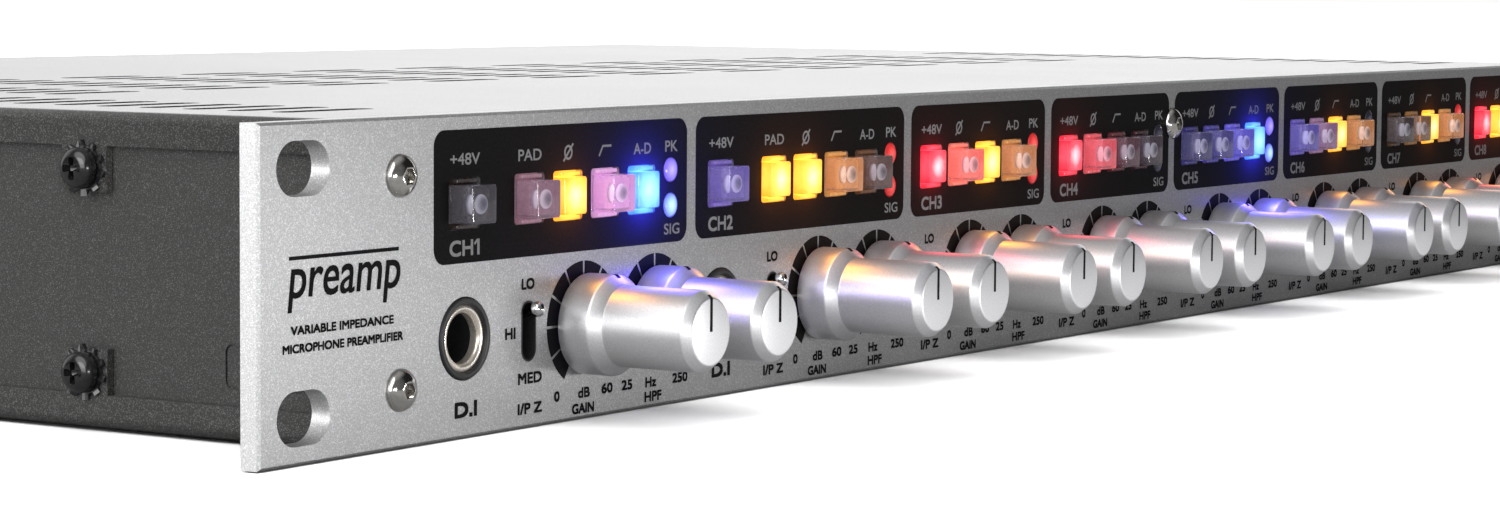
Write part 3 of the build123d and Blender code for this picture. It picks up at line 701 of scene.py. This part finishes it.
def build_knob(kind, n):
    """Turned aluminium knob with a black pointer."""
    name = f"{kind}_knob_{n}"
    x = (GAIN_X if kind == "gain" else FILTER_X)[n]
    bm = bmesh.new()
    lathe_y(bm, x, KNOB_Z, knob_profile(), count=96)
    shaft = [(2.9, -0.7), (2.95, 0.0), (2.95, 12.6), (2.6, 13.0)]
    lathe_y(bm, x, KNOB_Z, shaft, count=32)
    outward(bm)
    bmesh.ops.recalc_face_normals(bm, faces=knob_marks(bm, x, name))
    finish_piece(f"{name}_turned", bm, [SATIN, INK], name, [name], angle=25)


for number in CHANNELS:
    build_knob("gain", number)
    build_knob("filter", number)

# ---- toggles

TOGGLE_PIVOT_Y = 6.2
TOGGLE_REACH = 8.3
TOGGLE_BALL = 1.1
TOGGLE_TILT = math.radians(-22)


def build_toggle(n):
    """Chrome bat lever with a ball end, tilted to its top stop as the CAD lever is."""
    name = f"impedance_toggle_{n}"
    pivot = Vector((TOGGLE_X[n], TOGGLE_PIVOT_Y, TOGGLE_Z))
    reach, ball = TOGGLE_REACH, TOGGLE_BALL
    profile = [(0.78, 0.6), (0.78, -0.4), (0.70, -2.0), (0.60, -4.5), (0.55, -reach + 1.3), (0.58, -reach + 1.0)]
    for k in range(3, 13):
        a = math.pi * k / 13
        profile.append((ball * math.sin(a), -reach + ball * math.cos(a)))
    bm = bmesh.new()
    lathe_y(bm, 0, 0, profile, count=32)
    lathe_y(bm, 0, 0, [(0.9, 1.2), (1.35, 0.9), (1.5, 0.0), (1.35, -0.9), (0.9, -1.2)], count=32)
    outward(bm)
    place = Matrix.Translation(pivot) @ Matrix.Rotation(TOGGLE_TILT, 4, "X")
    bmesh.ops.transform(bm, matrix=place, verts=bm.verts)
    finish_piece(f"{name}_lever", bm, [CHROME], name, [name], angle=40)


def build_slot_liners():
    """Black sleeves that line the toggle slots."""
    bm = bmesh.new()
    for n in CHANNELS:
        rings = []
        for y, inset in ((3.9, 0.02), (-0.02, 0.02), (-0.02, 0.28), (3.6, 0.28)):
            w = TOGGLE_SLOT[0] / 2 - inset
            h = TOGGLE_SLOT[1] / 2 - inset
            rings.append([(TOGGLE_X[n] + u, y, TOGGLE_Z + v) for u, v in rounded(w, h, w - 0.001, 8)])
        loft(bm, rings + [rings[0]], close=False)
    join_seams(bm)
    finish_piece("toggle_slot_liners", bm, [MOULDED], "chassis", angle=40)


for number in CHANNELS:
    build_toggle(number)
build_slot_liners()

# ---- push buttons

BUTTON_REACH = 3.4
LATCHED_BACK = 2.0
# The nose of a cap's unlit lamp starts this far in front of the cap's back. Behind it the lamp's painted glint is
# weaker and the lamp is darker, because its spot layer is scaled down.
LAMP_NOSE = 2.0
LAMP_BACK_SHARE = 0.3


def button_shape(bm, x, z, back, mat):
    """Square cap with soft edges, standing out of the panel, and its flange behind the panel's face."""
    start = len(bm.verts)
    front = back - BUTTON_REACH
    flange = [(back + 1.3, 3.1, 2.5, 0.3), (back + 1.2, 3.25, 2.62, 0.35), (back + 0.2, 3.25, 2.62, 0.35),
              (back + 0.12, 3.1, 2.55, 0.3)]
    cap = [(back + 0.1, 2.72, 2.62, 0.35), (front + 0.3, 2.72, 2.62, 0.35), (front + 0.13, 2.70, 2.60, 0.35),
           (front + 0.04, 2.62, 2.52, 0.33), (front, 2.48, 2.38, 0.3)]
    block_y(bm, x, z, flange + cap, mat)
    spot = bm.verts.layers.float_vector["spot"]
    for v in added(bm, start):
        v[spot] = Vector((v.co.x - x, (v.co.y - front) * 0.45, v.co.z - z))


def lamp_shape(bm, x, z, back, mat):
    """Hollow of the cap, seen through it: a dark inner sleeve, its ribs and a round-nosed lamp."""
    front = back - BUTTON_REACH
    sleeve = [(back + 0.9, 2.2, 2.1, 0.3), (back - 1.5, 2.2, 2.1, 0.3), (back - 1.6, 2.1, 2.0, 0.3)]
    rib = [(back + 0.5, 0.05, 0.14, 0.04), (back - 1.0, 0.1, 0.2, 0.06), (back - 1.4, 0.05, 0.12, 0.04)]
    block_y(bm, x, z, sleeve, mat + 1)
    for side in (-1, 1):
        for dz in (-1.25, 0.0, 1.25):
            block_y(bm, x + side * 2.3, z + dz, rib, mat + 1)
    profile = [(1.3, back - 1.62), (1.3, front + 1.25)]
    for k in range(1, 9):
        a = math.pi / 2 * k / 9
        profile.append((1.3 * math.cos(a), front + 1.25 - 0.95 * math.sin(a)))
    lathe_y(bm, x, z, profile, count=24, mat=mat)


def stem_shape(bm, x, z, back, mat):
    """Square stem that carries the button into its switch."""
    stem = [(back + 9.5, 1.35, 1.35, 0.2), (back + 9.3, 1.5, 1.5, 0.2), (back + 1.32, 1.5, 1.5, 0.2)]
    block_y(bm, x, z, stem, mat)


# Painted spill light: colour that a lit button paints on the clear caps near it, how fast it fades with
# distance, and its share to the left
PAINTED_SPILL = {"amber": ((0.48, 0.23, 0.06), 3.0, 0.45), "red": ((0.62, 0.10, 0.12), 3.0, 0.45),
          "blue": ((0.23, 0.19, 0.95), 1.2, 0.55)}
PAINTED_SPILL_REACH = 30.0


def painted_spill_colour(x):
    """Painted spill light that an unlit cap takes from the lit buttons near it."""
    total = Vector((0, 0, 0))
    for n in CHANNELS:
        for kind in LATCHED[n]:
            gap = BUTTON_X[n][kind] - x
            if 0.1 < abs(gap) < PAINTED_SPILL_REACH:
                colour, fade, leftward = PAINTED_SPILL[LIGHT_OF[kind]]
                share = (BUTTON_PITCH / max(abs(gap), BUTTON_PITCH)) ** fade * (leftward if gap > 0 else 1.0)
                total += Vector(colour) * share
    return total


def build_buttons(name, places, colours):
    """All the buttons of one body. places are X, Z and the back's Y; colours are None where a button is unlit."""
    bm = bmesh.new()
    spot, caught = glow_layers(bm)
    kinds = sorted({c for c in colours if c})
    materials = [CLEAR, PAINTED_GLINT_LAMP, SLEEVE, MOULDED] + [GLOW[k] for k in kinds]
    for (x, z, back), colour in zip(places, colours):
        start = len(bm.verts)
        button_shape(bm, x, z, back, 4 + kinds.index(colour) if colour else 0)
        # Painted spill light from the lit buttons near this cap
        for v in added(bm, start):
            v[caught] = painted_spill_colour(x)
        if not colour:
            start = len(bm.verts)
            lamp_shape(bm, x, z, back, 1)
            for v in added(bm, start):
                # Spot layer for the lamp's painted glint, scaled down behind its nose
                share = 1.0 if v.co.y < back - LAMP_NOSE else LAMP_BACK_SHARE
                v[spot] = Vector((v.co.x - x, 0, v.co.z - z)) * share
                # Painted spill light from the lit buttons near this lamp
                v[caught] = painted_spill_colour(x)
        stem_shape(bm, x, z, back, 3)
    outward(bm)
    finish_piece(f"{name}_caps", bm, materials, name, [name], angle=30)


def build_all_buttons():
    """Single buttons of channels 1 and 2, then the banks, the latched group and the power button."""
    for n in (1, 2):
        for kind, x in BUTTON_X[n].items():
            lit = kind in LATCHED[n]
            place = (x, BUTTON_Z, LATCHED_BACK if lit else 0.0)
            build_buttons(f"{kind}_button_{n}", [place], [LIGHT_OF[kind] if lit else None])
    places, colours = [], []
    for n in range(3, 9):
        out = [(x, BUTTON_Z, 0.0) for kind, x in BUTTON_X[n].items() if kind not in LATCHED[n]]
        build_buttons(f"button_bank_{n}", out, [None] * len(out))
        places += [(x, BUTTON_Z, LATCHED_BACK) for kind, x in BUTTON_X[n].items() if kind in LATCHED[n]]
        colours += [LIGHT_OF[kind] for kind in BUTTON_X[n] if kind in LATCHED[n]]
    build_buttons("latched_buttons", places, colours)
    build_buttons("power_button", [(POWER.x, POWER.z, LATCHED_BACK)], [None])


def build_button_guides():
    """Clear tabs of the button guides, above and below each cap in its hole. They light up beside lit caps; the
    others carry painted spill light from lit caps near them.
    """
    looks = {look: (mat, []) for look, mat in [("clear", SLEEVE), *GLOW.items()]}
    tab = [(3.9, 2.2, 0.40, 0.1), (0.3, 2.2, 0.40, 0.1), (0.2, 2.3, 0.27, 0.1), (-0.4, 2.3, 0.27, 0.1),
           (-0.5, 2.2, 0.2, 0.08)]
    for n in CHANNELS:
        for kind, x in BUTTON_X[n].items():
            looks[LIGHT_OF[kind] if kind in LATCHED[n] else "clear"][1].append((x, BUTTON_Z))
    looks["clear"][1].append((POWER.x, POWER.z))
    for look, (mat, places) in looks.items():
        bm = bmesh.new()
        spot, caught = glow_layers(bm)
        for x, z in places:
            start = len(bm.verts)
            for side in (-1, 1):
                block_y(bm, x, z + side * 3.08, tab)
            for v in added(bm, start):
                v[spot] = Vector((v.co.x - x, 0, v.co.z - z)) * 0.9
                # Painted spill light from lit caps near this tab, used by the clear tabs
                v[caught] = painted_spill_colour(x)
        outward(bm)
        finish_piece(f"button_guides_{look}", bm, [mat], "chassis", angle=30)


build_all_buttons()
build_button_guides()

# ---- indicator lenses

LENS_REACH = 2.0
LENS_LOOK = {look: glowing(f"lens_{look}", *values, LENS_REACH) for look, values in {
    "violet": ((0.42, 0.36, 0.95), (0.25, 0.2, 0.9), (0.12, 0.08, 0.6), 0.9),
    "ice": ((0.5, 0.75, 1.0), (0.28, 0.45, 1.0), (0.10, 0.12, 0.8), 1.0),
    "red": ((0.85, 0.10, 0.09), (0.6, 0.04, 0.04), (0.3, 0.01, 0.01), 0.8),
    # Unlit lights: their faint glow, brighter in the middle, is painted light
    "dark": ((0.05, 0.045, 0.07), (0.03, 0.028, 0.045), (0.015, 0.014, 0.02), 0.4),
    "power": ((0.55, 0.8, 1.0), (0.2, 0.45, 1.0), (0.05, 0.12, 0.8), 1.2),
}.items()}
LENS_STATE = {1: ("violet", "ice"), 2: ("red", "red"), 3: ("red", "red"), 4: ("dark", "dark"),
              5: ("violet", "ice"), 6: ("dark", "dark"), 7: ("red", "dark"), 8: ("red", "dark")}
LENS_PROFILE = [(1.3, 9.0), (1.7, 8.6), (1.7, 0.05), (1.66, -0.08), (1.52, -0.18), (1.15, -0.26), (0.6, -0.3)]
POWER_LIGHT_Z = 4.0


def build_lenses():
    """Round lenses with a softly domed front, one piece for each look."""
    groups = {}
    for n in CHANNELS:
        for look, z in zip(LENS_STATE[n], (PEAK_Z, SIGNAL_Z)):
            groups.setdefault(look, []).append((RIGHT[n] - LIGHT_INSET, z))
    groups["power"] = [(POWER.x, POWER_LIGHT_Z)]
    for look, places in groups.items():
        bm = bmesh.new()
        spot = bm.verts.layers.float_vector.new("spot")
        for x, z in places:
            start = len(bm.verts)
            lathe_y(bm, x, z, LENS_PROFILE, count=32)
            for v in added(bm, start):
                v[spot] = Vector((v.co.x - x, max(0.0, v.co.y) * 0.3, v.co.z - z))
        outward(bm)
        finish_piece(f"lenses_{look}", bm, [LENS_LOOK[look]], "chassis", ["indicator_lenses"],
                     angle=40)


build_lenses()

# ---- instrument jacks

NOSE_PROFILE = [(4.62, 4.2), (4.62, 0.1), (4.66, -0.15), (4.8, -0.34), (5.1, -0.42), (5.4, -0.36), (5.54, -0.2),
                (5.57, 0.0), (5.57, 4.2), (4.62, 4.2)]
SLEEVE_PROFILE = [(3.36, 1.7), (3.36, 31.9), (3.1, 32.0), (5.2, 33.9), (6.9, 33.5), (6.9, 4.4), (4.5, 4.3),
                  (4.5, 1.8), (3.36, 1.7)]
FERRULE_PROFILE = [(3.4, 1.6), (3.4, 0.75), (3.46, 0.5), (3.6, 0.27), (3.8, 0.12), (4.1, 0.05), (4.36, 0.1),
                   (4.54, 0.25), (4.6, 0.45), (4.6, 1.7), (3.4, 1.6)]


def build_jacks():
    """Black-nosed jack with a pale metal ferrule, and the black sleeve that the plug goes into."""
    black, metal = bmesh.new(), bmesh.new()
    for n in (1, 2):
        x = RIGHT[n] - FAR_INSET
        lathe_y(black, x, KNOB_Z, NOSE_PROFILE, count=64, close=False)
        lathe_y(black, x, KNOB_Z, SLEEVE_PROFILE, count=48, close=False)
        lathe_y(metal, x, KNOB_Z, FERRULE_PROFILE, count=64, close=False)
    for bm in (black, metal):
        join_seams(bm)
    finish_piece("jack_noses", black, [MOULDED], "chassis", ["di_jacks"], angle=30)
    finish_piece("jack_ferrules", metal, [BRASS], "chassis", ["di_jacks"], angle=30)


build_jacks()

# ---- screws

PANEL_SCREW_RADIUS = 2.85
DOME_PROFILE = [(1.5, 9.0), (1.5, 0.0), (2.6, 0.0), (2.83, -0.08), (PANEL_SCREW_RADIUS, -0.3), (2.76, -0.55),
                (2.55, -0.88), (2.2, -1.2), (1.8, -1.45), (1.45, -1.6), (1.32, -1.65)]
SOCKET_PROFILE = [(1.0, -1.62), (0.985, -1.5), (0.97, -0.6), (0.1, -0.35)]


def hexagon_y(x, z, inset, y, count):
    """Ring of points on a hexagon about an axis along Y, from half its width across flats."""
    ring = []
    for i in range(count):
        a = math.tau * i / count
        sector = (a + math.radians(30)) % math.radians(60) - math.radians(30)
        r = inset / math.cos(sector)
        ring.append((x + r * math.sin(a), y, z + r * math.cos(a)))
    return ring


def build_panel_screws():
    """Button-head screws with a hexagon socket, on the front panel."""
    low, high = corners("panel_screws")
    top = (high.z - low.z) / 2 - PANEL_SCREW_RADIUS
    middle = (RIGHT[4] + (RIGHT[5] - NARROW_BOX)) / 2
    bm = bmesh.new()
    for x in (low.x + PANEL_SCREW_RADIUS, middle, high.x - PANEL_SCREW_RADIUS):
        for z in (-top, top):
            rings = [circle_y(x, z, r, y, 48) for r, y in DOME_PROFILE]
            rings += [hexagon_y(x, z, inset, y, 48) for inset, y in SOCKET_PROFILE]
            loft(bm, rings)
    outward(bm)
    finish_piece("panel_screw_heads", bm, [STEEL], "chassis", ["panel_screws"], angle=28)


SHANK_RADIUS = 1.5
# Pan head from its seat to the bottom of its recess: radius, distance from the seat, and how far the cross shows
HEAD_PROFILE = [(SHANK_RADIUS, 0.0, 0.0), (2.7, 0.0, 0.0), (2.85, 0.15, 0.0), (2.85, 0.85, 0.0), (2.76, 1.2, 0.0),
                (2.5, 1.6, 0.0), (2.1, 1.88, 0.0), (1.75, 2.02, 0.0), (1.62, 2.06, 0.0), (1.55, 2.05, 1.0),
                (1.4, 1.6, 0.9), (1.1, 1.0, 0.7), (0.3, 0.7, 0.0)]
# Cross recess: half width of an arm, how much more at its end, its reach, and the radius between the arms
CROSS_HALF = 0.36
CROSS_FLARE = 0.28
CROSS_REACH = 1.55
CROSS_MIDDLE = 0.42
WASHER_THICK = 0.6
WASHER_POINTS = 60
WASHER_TOOTH_RADIUS = 3.85
WASHER_ROOT_RADIUS = 3.15
WASHER_HOLE_RADIUS = 1.62
COVER_SCREW_EDGE = 3.95
COVER_SCREW_Z = 13.9
COVER_SCREW_MIDDLE_Y = 145.0


def recess_ring(side, y, z, radius, out, cross, count=80):
    """Ring of points about an axis along X, pulled in to a cross where the recess is."""
    points = []
    for i in range(count):
        a = math.tau * i / count
        reach = radius
        if cross:
            arm = abs((a + math.pi / 4) % (math.pi / 2) - math.pi / 4)
            half = CROSS_HALF + CROSS_FLARE * max(0.0, 1 - math.degrees(arm) / 45)
            reach = min(radius, half / max(math.sin(arm), 0.001))
            reach = max(min(reach, CROSS_REACH * cross), CROSS_MIDDLE * cross)
        points.append((side * out, y + reach * math.cos(a), z + reach * math.sin(a)))
    return points


def cover_screw(bm, side, y, z, face):
    """Pan-head screw with a cross recess over a lock washer with twisted teeth."""
    seat = face + WASHER_THICK
    rings = [recess_ring(side, y, z, radius, seat + out, cross) for radius, out, cross in HEAD_PROFILE]
    loft(bm, [recess_ring(side, y, z, SHANK_RADIUS, face - 4.1, 0.0)] + rings)
    washer = []
    for out, lift in ((face + 0.05, -1), (face + 0.55, 1)):
        rim = []
        for i in range(WASHER_POINTS):
            a = math.tau * i / WASHER_POINTS
            phase = i % 6
            tooth = phase in (1, 2, 3)
            radius = WASHER_TOOTH_RADIUS if tooth else WASHER_ROOT_RADIUS
            twist = 0.22 * (phase - 2) * lift if tooth else 0.0
            height = min(max(out + twist, face + 0.02), face + 0.78)
            rim.append((side * height, y + radius * math.cos(a), z + radius * math.sin(a)))
        washer.append(rim)
    for out in (face + 0.5, face + 0.1):
        washer.append(recess_ring(side, y, z, WASHER_HOLE_RADIUS, out, 0.0, WASHER_POINTS))
    loft(bm, washer + [washer[0]], close=False)


def build_cover_screws():
    """The twelve screws that hold the covers to the side plates."""
    face = corners("top_cover")[1].x
    low, high = corners("cover_screws")
    rows = (low.y + COVER_SCREW_EDGE, COVER_SCREW_MIDDLE_Y, high.y - COVER_SCREW_EDGE)
    bm = bmesh.new()
    for side in (-1, 1):
        for y in rows:
            for z in (-COVER_SCREW_Z, COVER_SCREW_Z):
                cover_screw(bm, side, y, z, face)
    join_seams(bm)
    finish_piece("cover_screw_heads", bm, [BLACKED], "chassis", ["cover_screws"], angle=28)


build_panel_screws()
build_cover_screws()

# ---- CAD nodes that stay

# Black inserts of the rear sockets: middle and half size in X and Z
SOCKET_INSERTS = [((x, side * 9.5), (17.9, 3.0)) for x in (39.0, 96.0) for side in (-1, 1)]
SOCKET_INSERTS.append(((149.0, 0.0), (5.6, 15.0)))


def zone(tree, coords, middle, half):
    """Mask that is 1 inside a rectangle in X and Z, given in millimetres."""
    origin = (middle[0] * MM, 0, middle[1] * MM)
    moved = calc(tree, "SUBTRACT", coords.outputs["Object"], origin, kind="VectorMath")
    size = calc(tree, "ABSOLUTE", moved, kind="VectorMath")
    over = calc(tree, "SUBTRACT", size, (half[0] * MM, 0, half[1] * MM), kind="VectorMath")
    split = tree.nodes.new("ShaderNodeSeparateXYZ")
    link(over, split.inputs[0])
    furthest = calc(tree, "MAXIMUM", split.outputs["X"], split.outputs["Z"])
    return calc(tree, "LESS_THAN", furthest, 0.0)


def socket_finish():
    """Nickel shells with black moulded inserts, as rear sockets have."""
    mat, tree, shader = new_material("nickel_and_inserts")
    coords = tree.nodes.new("ShaderNodeTexCoord")
    fine = noise(tree, 1500.0, 3.0)
    mask = zone(tree, coords, *SOCKET_INSERTS[0])
    for middle, half in SOCKET_INSERTS[1:]:
        mask = calc(tree, "MAXIMUM", mask, zone(tree, coords, middle, half))
    nickel = ramp(tree, fine, [(0.3, (0.52, 0.51, 0.49)), (0.7, (0.68, 0.67, 0.64))])
    black = ramp(tree, fine, [(0.3, (0.012, 0.012, 0.013)), (0.7, (0.024, 0.024, 0.026))])
    link(mix(tree, mask, nickel, black), shader.inputs["Base Color"])
    link(spread(tree, mask, 1.0, 0.0), shader.inputs["Metallic"])
    link(spread(tree, fine, 0.22, 0.40), shader.inputs["Roughness"])
    return mat


KEPT = {
    "front_panel": BLASTED, "front_subpanel": ZINC, "side_plates": COATED, "rear_panel": COATED,
    "top_cover": COATED, "bottom_cover": COATED, "potentiometers": DARK_PARTS, "switch_bodies": MOULDED,
    "control_board": BOARD, "main_board": BOARD, "power_supply": DARK_PARTS, "mic_sockets": MOULDED,
    "rear_sockets": socket_finish(), "mains_inlet": MOULDED,
}
for name, mat in KEPT.items():
    mesh = frame["nodes"][name].data
    mesh.materials.clear()
    mesh.materials.append(mat)

# ---- floor, world and lights

FLOOR_HALF_SIZE = 8.0
# Colour of the floor as the unit sees it; the camera sees a paler one
FLOOR_BOUNCE = (0.17, 0.17, 0.17)
FLOOR_WASH = 5.5
FLOOR_WASH_AIM = (0.1035, 0.1392, -0.9848)
FLOOR_WASH_ANGLE = 100
FLOOR_GAP = 0.0002
WORLD_BASE = 0.02
# Soft boxes of the studio: direction, full and faded half angles in degrees, and brightness
WORLD_LOBES = (
    ((0.90, 0.43, 0.14), 8, 36, 2.85),
    ((-1.0, 0.0, 0.14), 8, 36, 0.7),
    ((-0.74, 0.0, 0.67), 10, 42, 0.7),
    ((0.0, 0.0, 1.0), 10, 50, 0.45),
    ((0.1, 1.0, 0.3), 15, 45, 1.2),
    ((-0.3, -1.0, 0.45), 10, 45, 0.15),
)


def build_stage():
    """Pale floor under the unit. It sends less light back to the unit than it shows the camera."""
    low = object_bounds()[0]
    bm = bmesh.new()
    bmesh.ops.create_grid(bm, x_segments=2, y_segments=2, size=FLOOR_HALF_SIZE)
    mesh = bpy.data.meshes.new("floor")
    bm.to_mesh(mesh)
    bm.free()
    mat, tree, shader = new_material("floor_paper")
    slow = noise(tree, 3.0)
    seen = ramp(tree, slow, [(0.3, (0.92, 0.92, 0.92)), (0.7, (0.94, 0.94, 0.94))])
    by_camera = tree.nodes.new("ShaderNodeLightPath").outputs["Is Camera Ray"]
    link(mix(tree, by_camera, (*FLOOR_BOUNCE, 1), seen), shader.inputs["Base Color"])
    assign(shader, Roughness=0.9, Specular_IOR_Level=0.0)
    mesh.materials.append(mat)
    floor = add_object("floor", mesh)
    floor.location = (0, 0, low[2] - FLOOR_GAP)
    sun_light("floor_wash", FLOOR_WASH_AIM, FLOOR_WASH, FLOOR_WASH_ANGLE, group("floor_light_receivers", [floor]))


def build_world():
    """Studio made of soft lobes of light; the camera itself sees plain white."""
    world = bpy.data.worlds.new("studio")
    bpy.context.scene.world = world
    world.use_nodes = True
    tree = world.node_tree
    tree.nodes.clear()
    out = tree.nodes.new("ShaderNodeOutputWorld")
    coords = tree.nodes.new("ShaderNodeTexCoord")
    level = WORLD_BASE
    for axis, inner, outer, brightness in WORLD_LOBES:
        dot = calc(tree, "DOT_PRODUCT", coords.outputs["Generated"], Vector(axis).normalized(), kind="VectorMath",
                   output="Value")
        fade = remap(tree, dot, interpolation_type="SMOOTHSTEP", To_Max=brightness,
                     From_Min=math.cos(math.radians(outer)), From_Max=math.cos(math.radians(inner)))
        level = calc(tree, "ADD", level, fade)
    shade = tree.nodes.new("ShaderNodeBackground")
    link(level, shade.inputs["Strength"])
    seen = tree.nodes.new("ShaderNodeBackground")
    seen.inputs["Color"].default_value = (1, 1, 1, 1)
    by_camera = tree.nodes.new("ShaderNodeLightPath").outputs["Is Camera Ray"]
    choice = tree.nodes.new("ShaderNodeMixShader")
    for target, source in zip(choice.inputs, (by_camera, shade.outputs[0], seen.outputs[0])):
        link(source, target)
    link(choice.outputs[0], out.inputs[0])


def group(name, members, state="INCLUDE"):
    """Collection for light linking: the only objects that a lamp lights, or with EXCLUDE those it passes over."""
    made = bpy.data.collections.new(name)
    for member in members:
        made.objects.link(member)
    for entry in made.collection_objects:
        entry.light_linking.link_state = state
    return made


def pieces_named(ending):
    """The pieces whose names end in a word."""
    return [piece for piece in bpy.context.scene.objects if piece.name.endswith(ending)]


def add_lamp(name, data, place, receivers):
    """Lamp in the scene, unseen by the camera, that lights all or only some objects."""
    lamp = add_object(name, data)
    lamp.location = place
    lamp.visible_camera = False
    if receivers is not None:
        lamp.light_linking.receiver_collection = receivers
    return lamp


def area_light(name, place, target, size, power, receivers=None):
    """Soft rectangular light that looks at a target."""
    data = bpy.data.lights.new(name, "AREA")
    data.shape = "RECTANGLE"
    data.size, data.size_y = size
    data.energy = power
    lamp = add_lamp(name, data, place, receivers)
    lamp.rotation_euler = (Vector(target) - Vector(place)).to_track_quat("-Z", "Y").to_euler()


def sun_light(name, direction, power, angle, receivers):
    """Distant light that travels along a direction, as wide as its angle in degrees."""
    data = bpy.data.lights.new(name, "SUN")
    data.energy = power
    data.angle = math.radians(angle)
    lamp = add_lamp(name, data, (0, 0, 0), receivers)
    lamp.rotation_euler = Vector(direction).to_track_quat("-Z", "Y").to_euler()


def build_edge_lights():
    """Light from the left, for the panel's edge and the walls of its slots only."""
    receivers = group("edge_receivers", [frame["nodes"]["front_panel"]])
    sun_light("edge_light", (0.84, -0.53, -0.12), 1.2, 30, receivers)
    sun_light("slot_light", (0.99, 0.1, -0.12), 2.1, 30, receivers)


def build_left_lights():
    """Low and high soft boxes at the left. The knobs have near ones, which fade along the row. The lid's low one
    is turned to the front, so that it doesn't glare when seen from the right."""
    lid = frame["nodes"]["top_cover"]
    knobs = group("knob_left_receivers", pieces_named("_turned"))
    passed_over = [bpy.data.objects["floor"], *pieces_named("_turned")]
    others = group("left_receivers", [*passed_over, lid], "EXCLUDE")
    all_but_knobs = group("high_left_receivers", passed_over, "EXCLUDE")
    sun_light("left_light", (1.0, 0.0, -0.14), 1.65, 51, others)
    sun_light("high_left_light", (0.74, 0.0, -0.67), 1.4, 60, all_but_knobs)
    near_knobs = (-0.17, 0.0, -0.008)
    area_light("knob_left_light", (-0.62, 0.0, 0.06), near_knobs, (0.42, 0.42), 1.2, knobs)
    area_light("knob_high_light", (-0.48, 0.0, 0.27), near_knobs, (0.43, 0.43), 0.72, knobs)
    area_light("knob_floor_light", (0.05, -0.085, -0.0212), (0.05, -0.083, 0.1), (0.5, 0.13), 0.11, knobs)
    sun_light("left_lid_light", (0.62, 0.78, -0.1), 2.4, 30, group("lid_receivers", [lid]))


# Light that lit buttons throw: colour, power and Y for the knobs, colour and power for the black print's halo
SPILL = {"amber": ((1.0, 0.36, 0.03), 0.0022, -3.2), "red": ((1.0, 0.05, 0.10), 0.0014, -3.5),
         "blue": ((0.12, 0.08, 1.0), 0.012, -4.8)}
HALO = {"amber": ((1.0, 0.22, 0.0), 0.012), "red": ((1.0, 0.02, 0.04), 0.02), "blue": ((0.03, 0.03, 1.0), 0.15)}


def point_light(name, place, colour, power, size, receivers, halo=False):
    """Small round lamp that lights only its receivers. The place and size are in millimetres."""
    data = bpy.data.lights.new(name, "POINT")
    data.energy = power
    data.color = colour
    data.shadow_soft_size = size * MM
    lamp = add_lamp(name, data, Vector(place) * MM, receivers)
    data.use_shadow = not halo
    lamp.visible_glossy = not halo


def build_spill():
    """Coloured lamps at the lit buttons: one tints the knobs below, one gives the halo on the black print."""
    knobs = group("knob_receivers", pieces_named("_turned"))
    prints = group("print_receivers", pieces_named("print_black"))
    for n in CHANNELS:
        for kind in LATCHED[n]:
            x = BUTTON_X[n][kind]
            colour, power, y = SPILL[LIGHT_OF[kind]]
            point_light(f"spill_{kind}_{n}", (x, y, BUTTON_Z - 1.0), colour, power, 4.0, knobs)
            colour, power = HALO[LIGHT_OF[kind]]
            point_light(f"halo_{kind}_{n}", (x, -1.0, BUTTON_Z), colour, power, 1.0, prints, halo=True)


build_stage()
build_world()
area_light("panel_kicker", (-0.10, -0.20, -0.014), (-0.20, 0.0, -0.02), (0.10, 0.01), 0.13)
area_light("knob_kicker", (-0.45, -0.30, 0.02), (-0.22, 0.0, -0.01), (0.16, 0.04), 0.28)
build_edge_lights()
build_left_lights()
build_spill()

scene = bpy.context.scene
scene.view_settings.view_transform = "Standard"
scene.view_settings.look = "None"
scene.view_settings.exposure = 0.0
scene.cycles.use_denoising = True
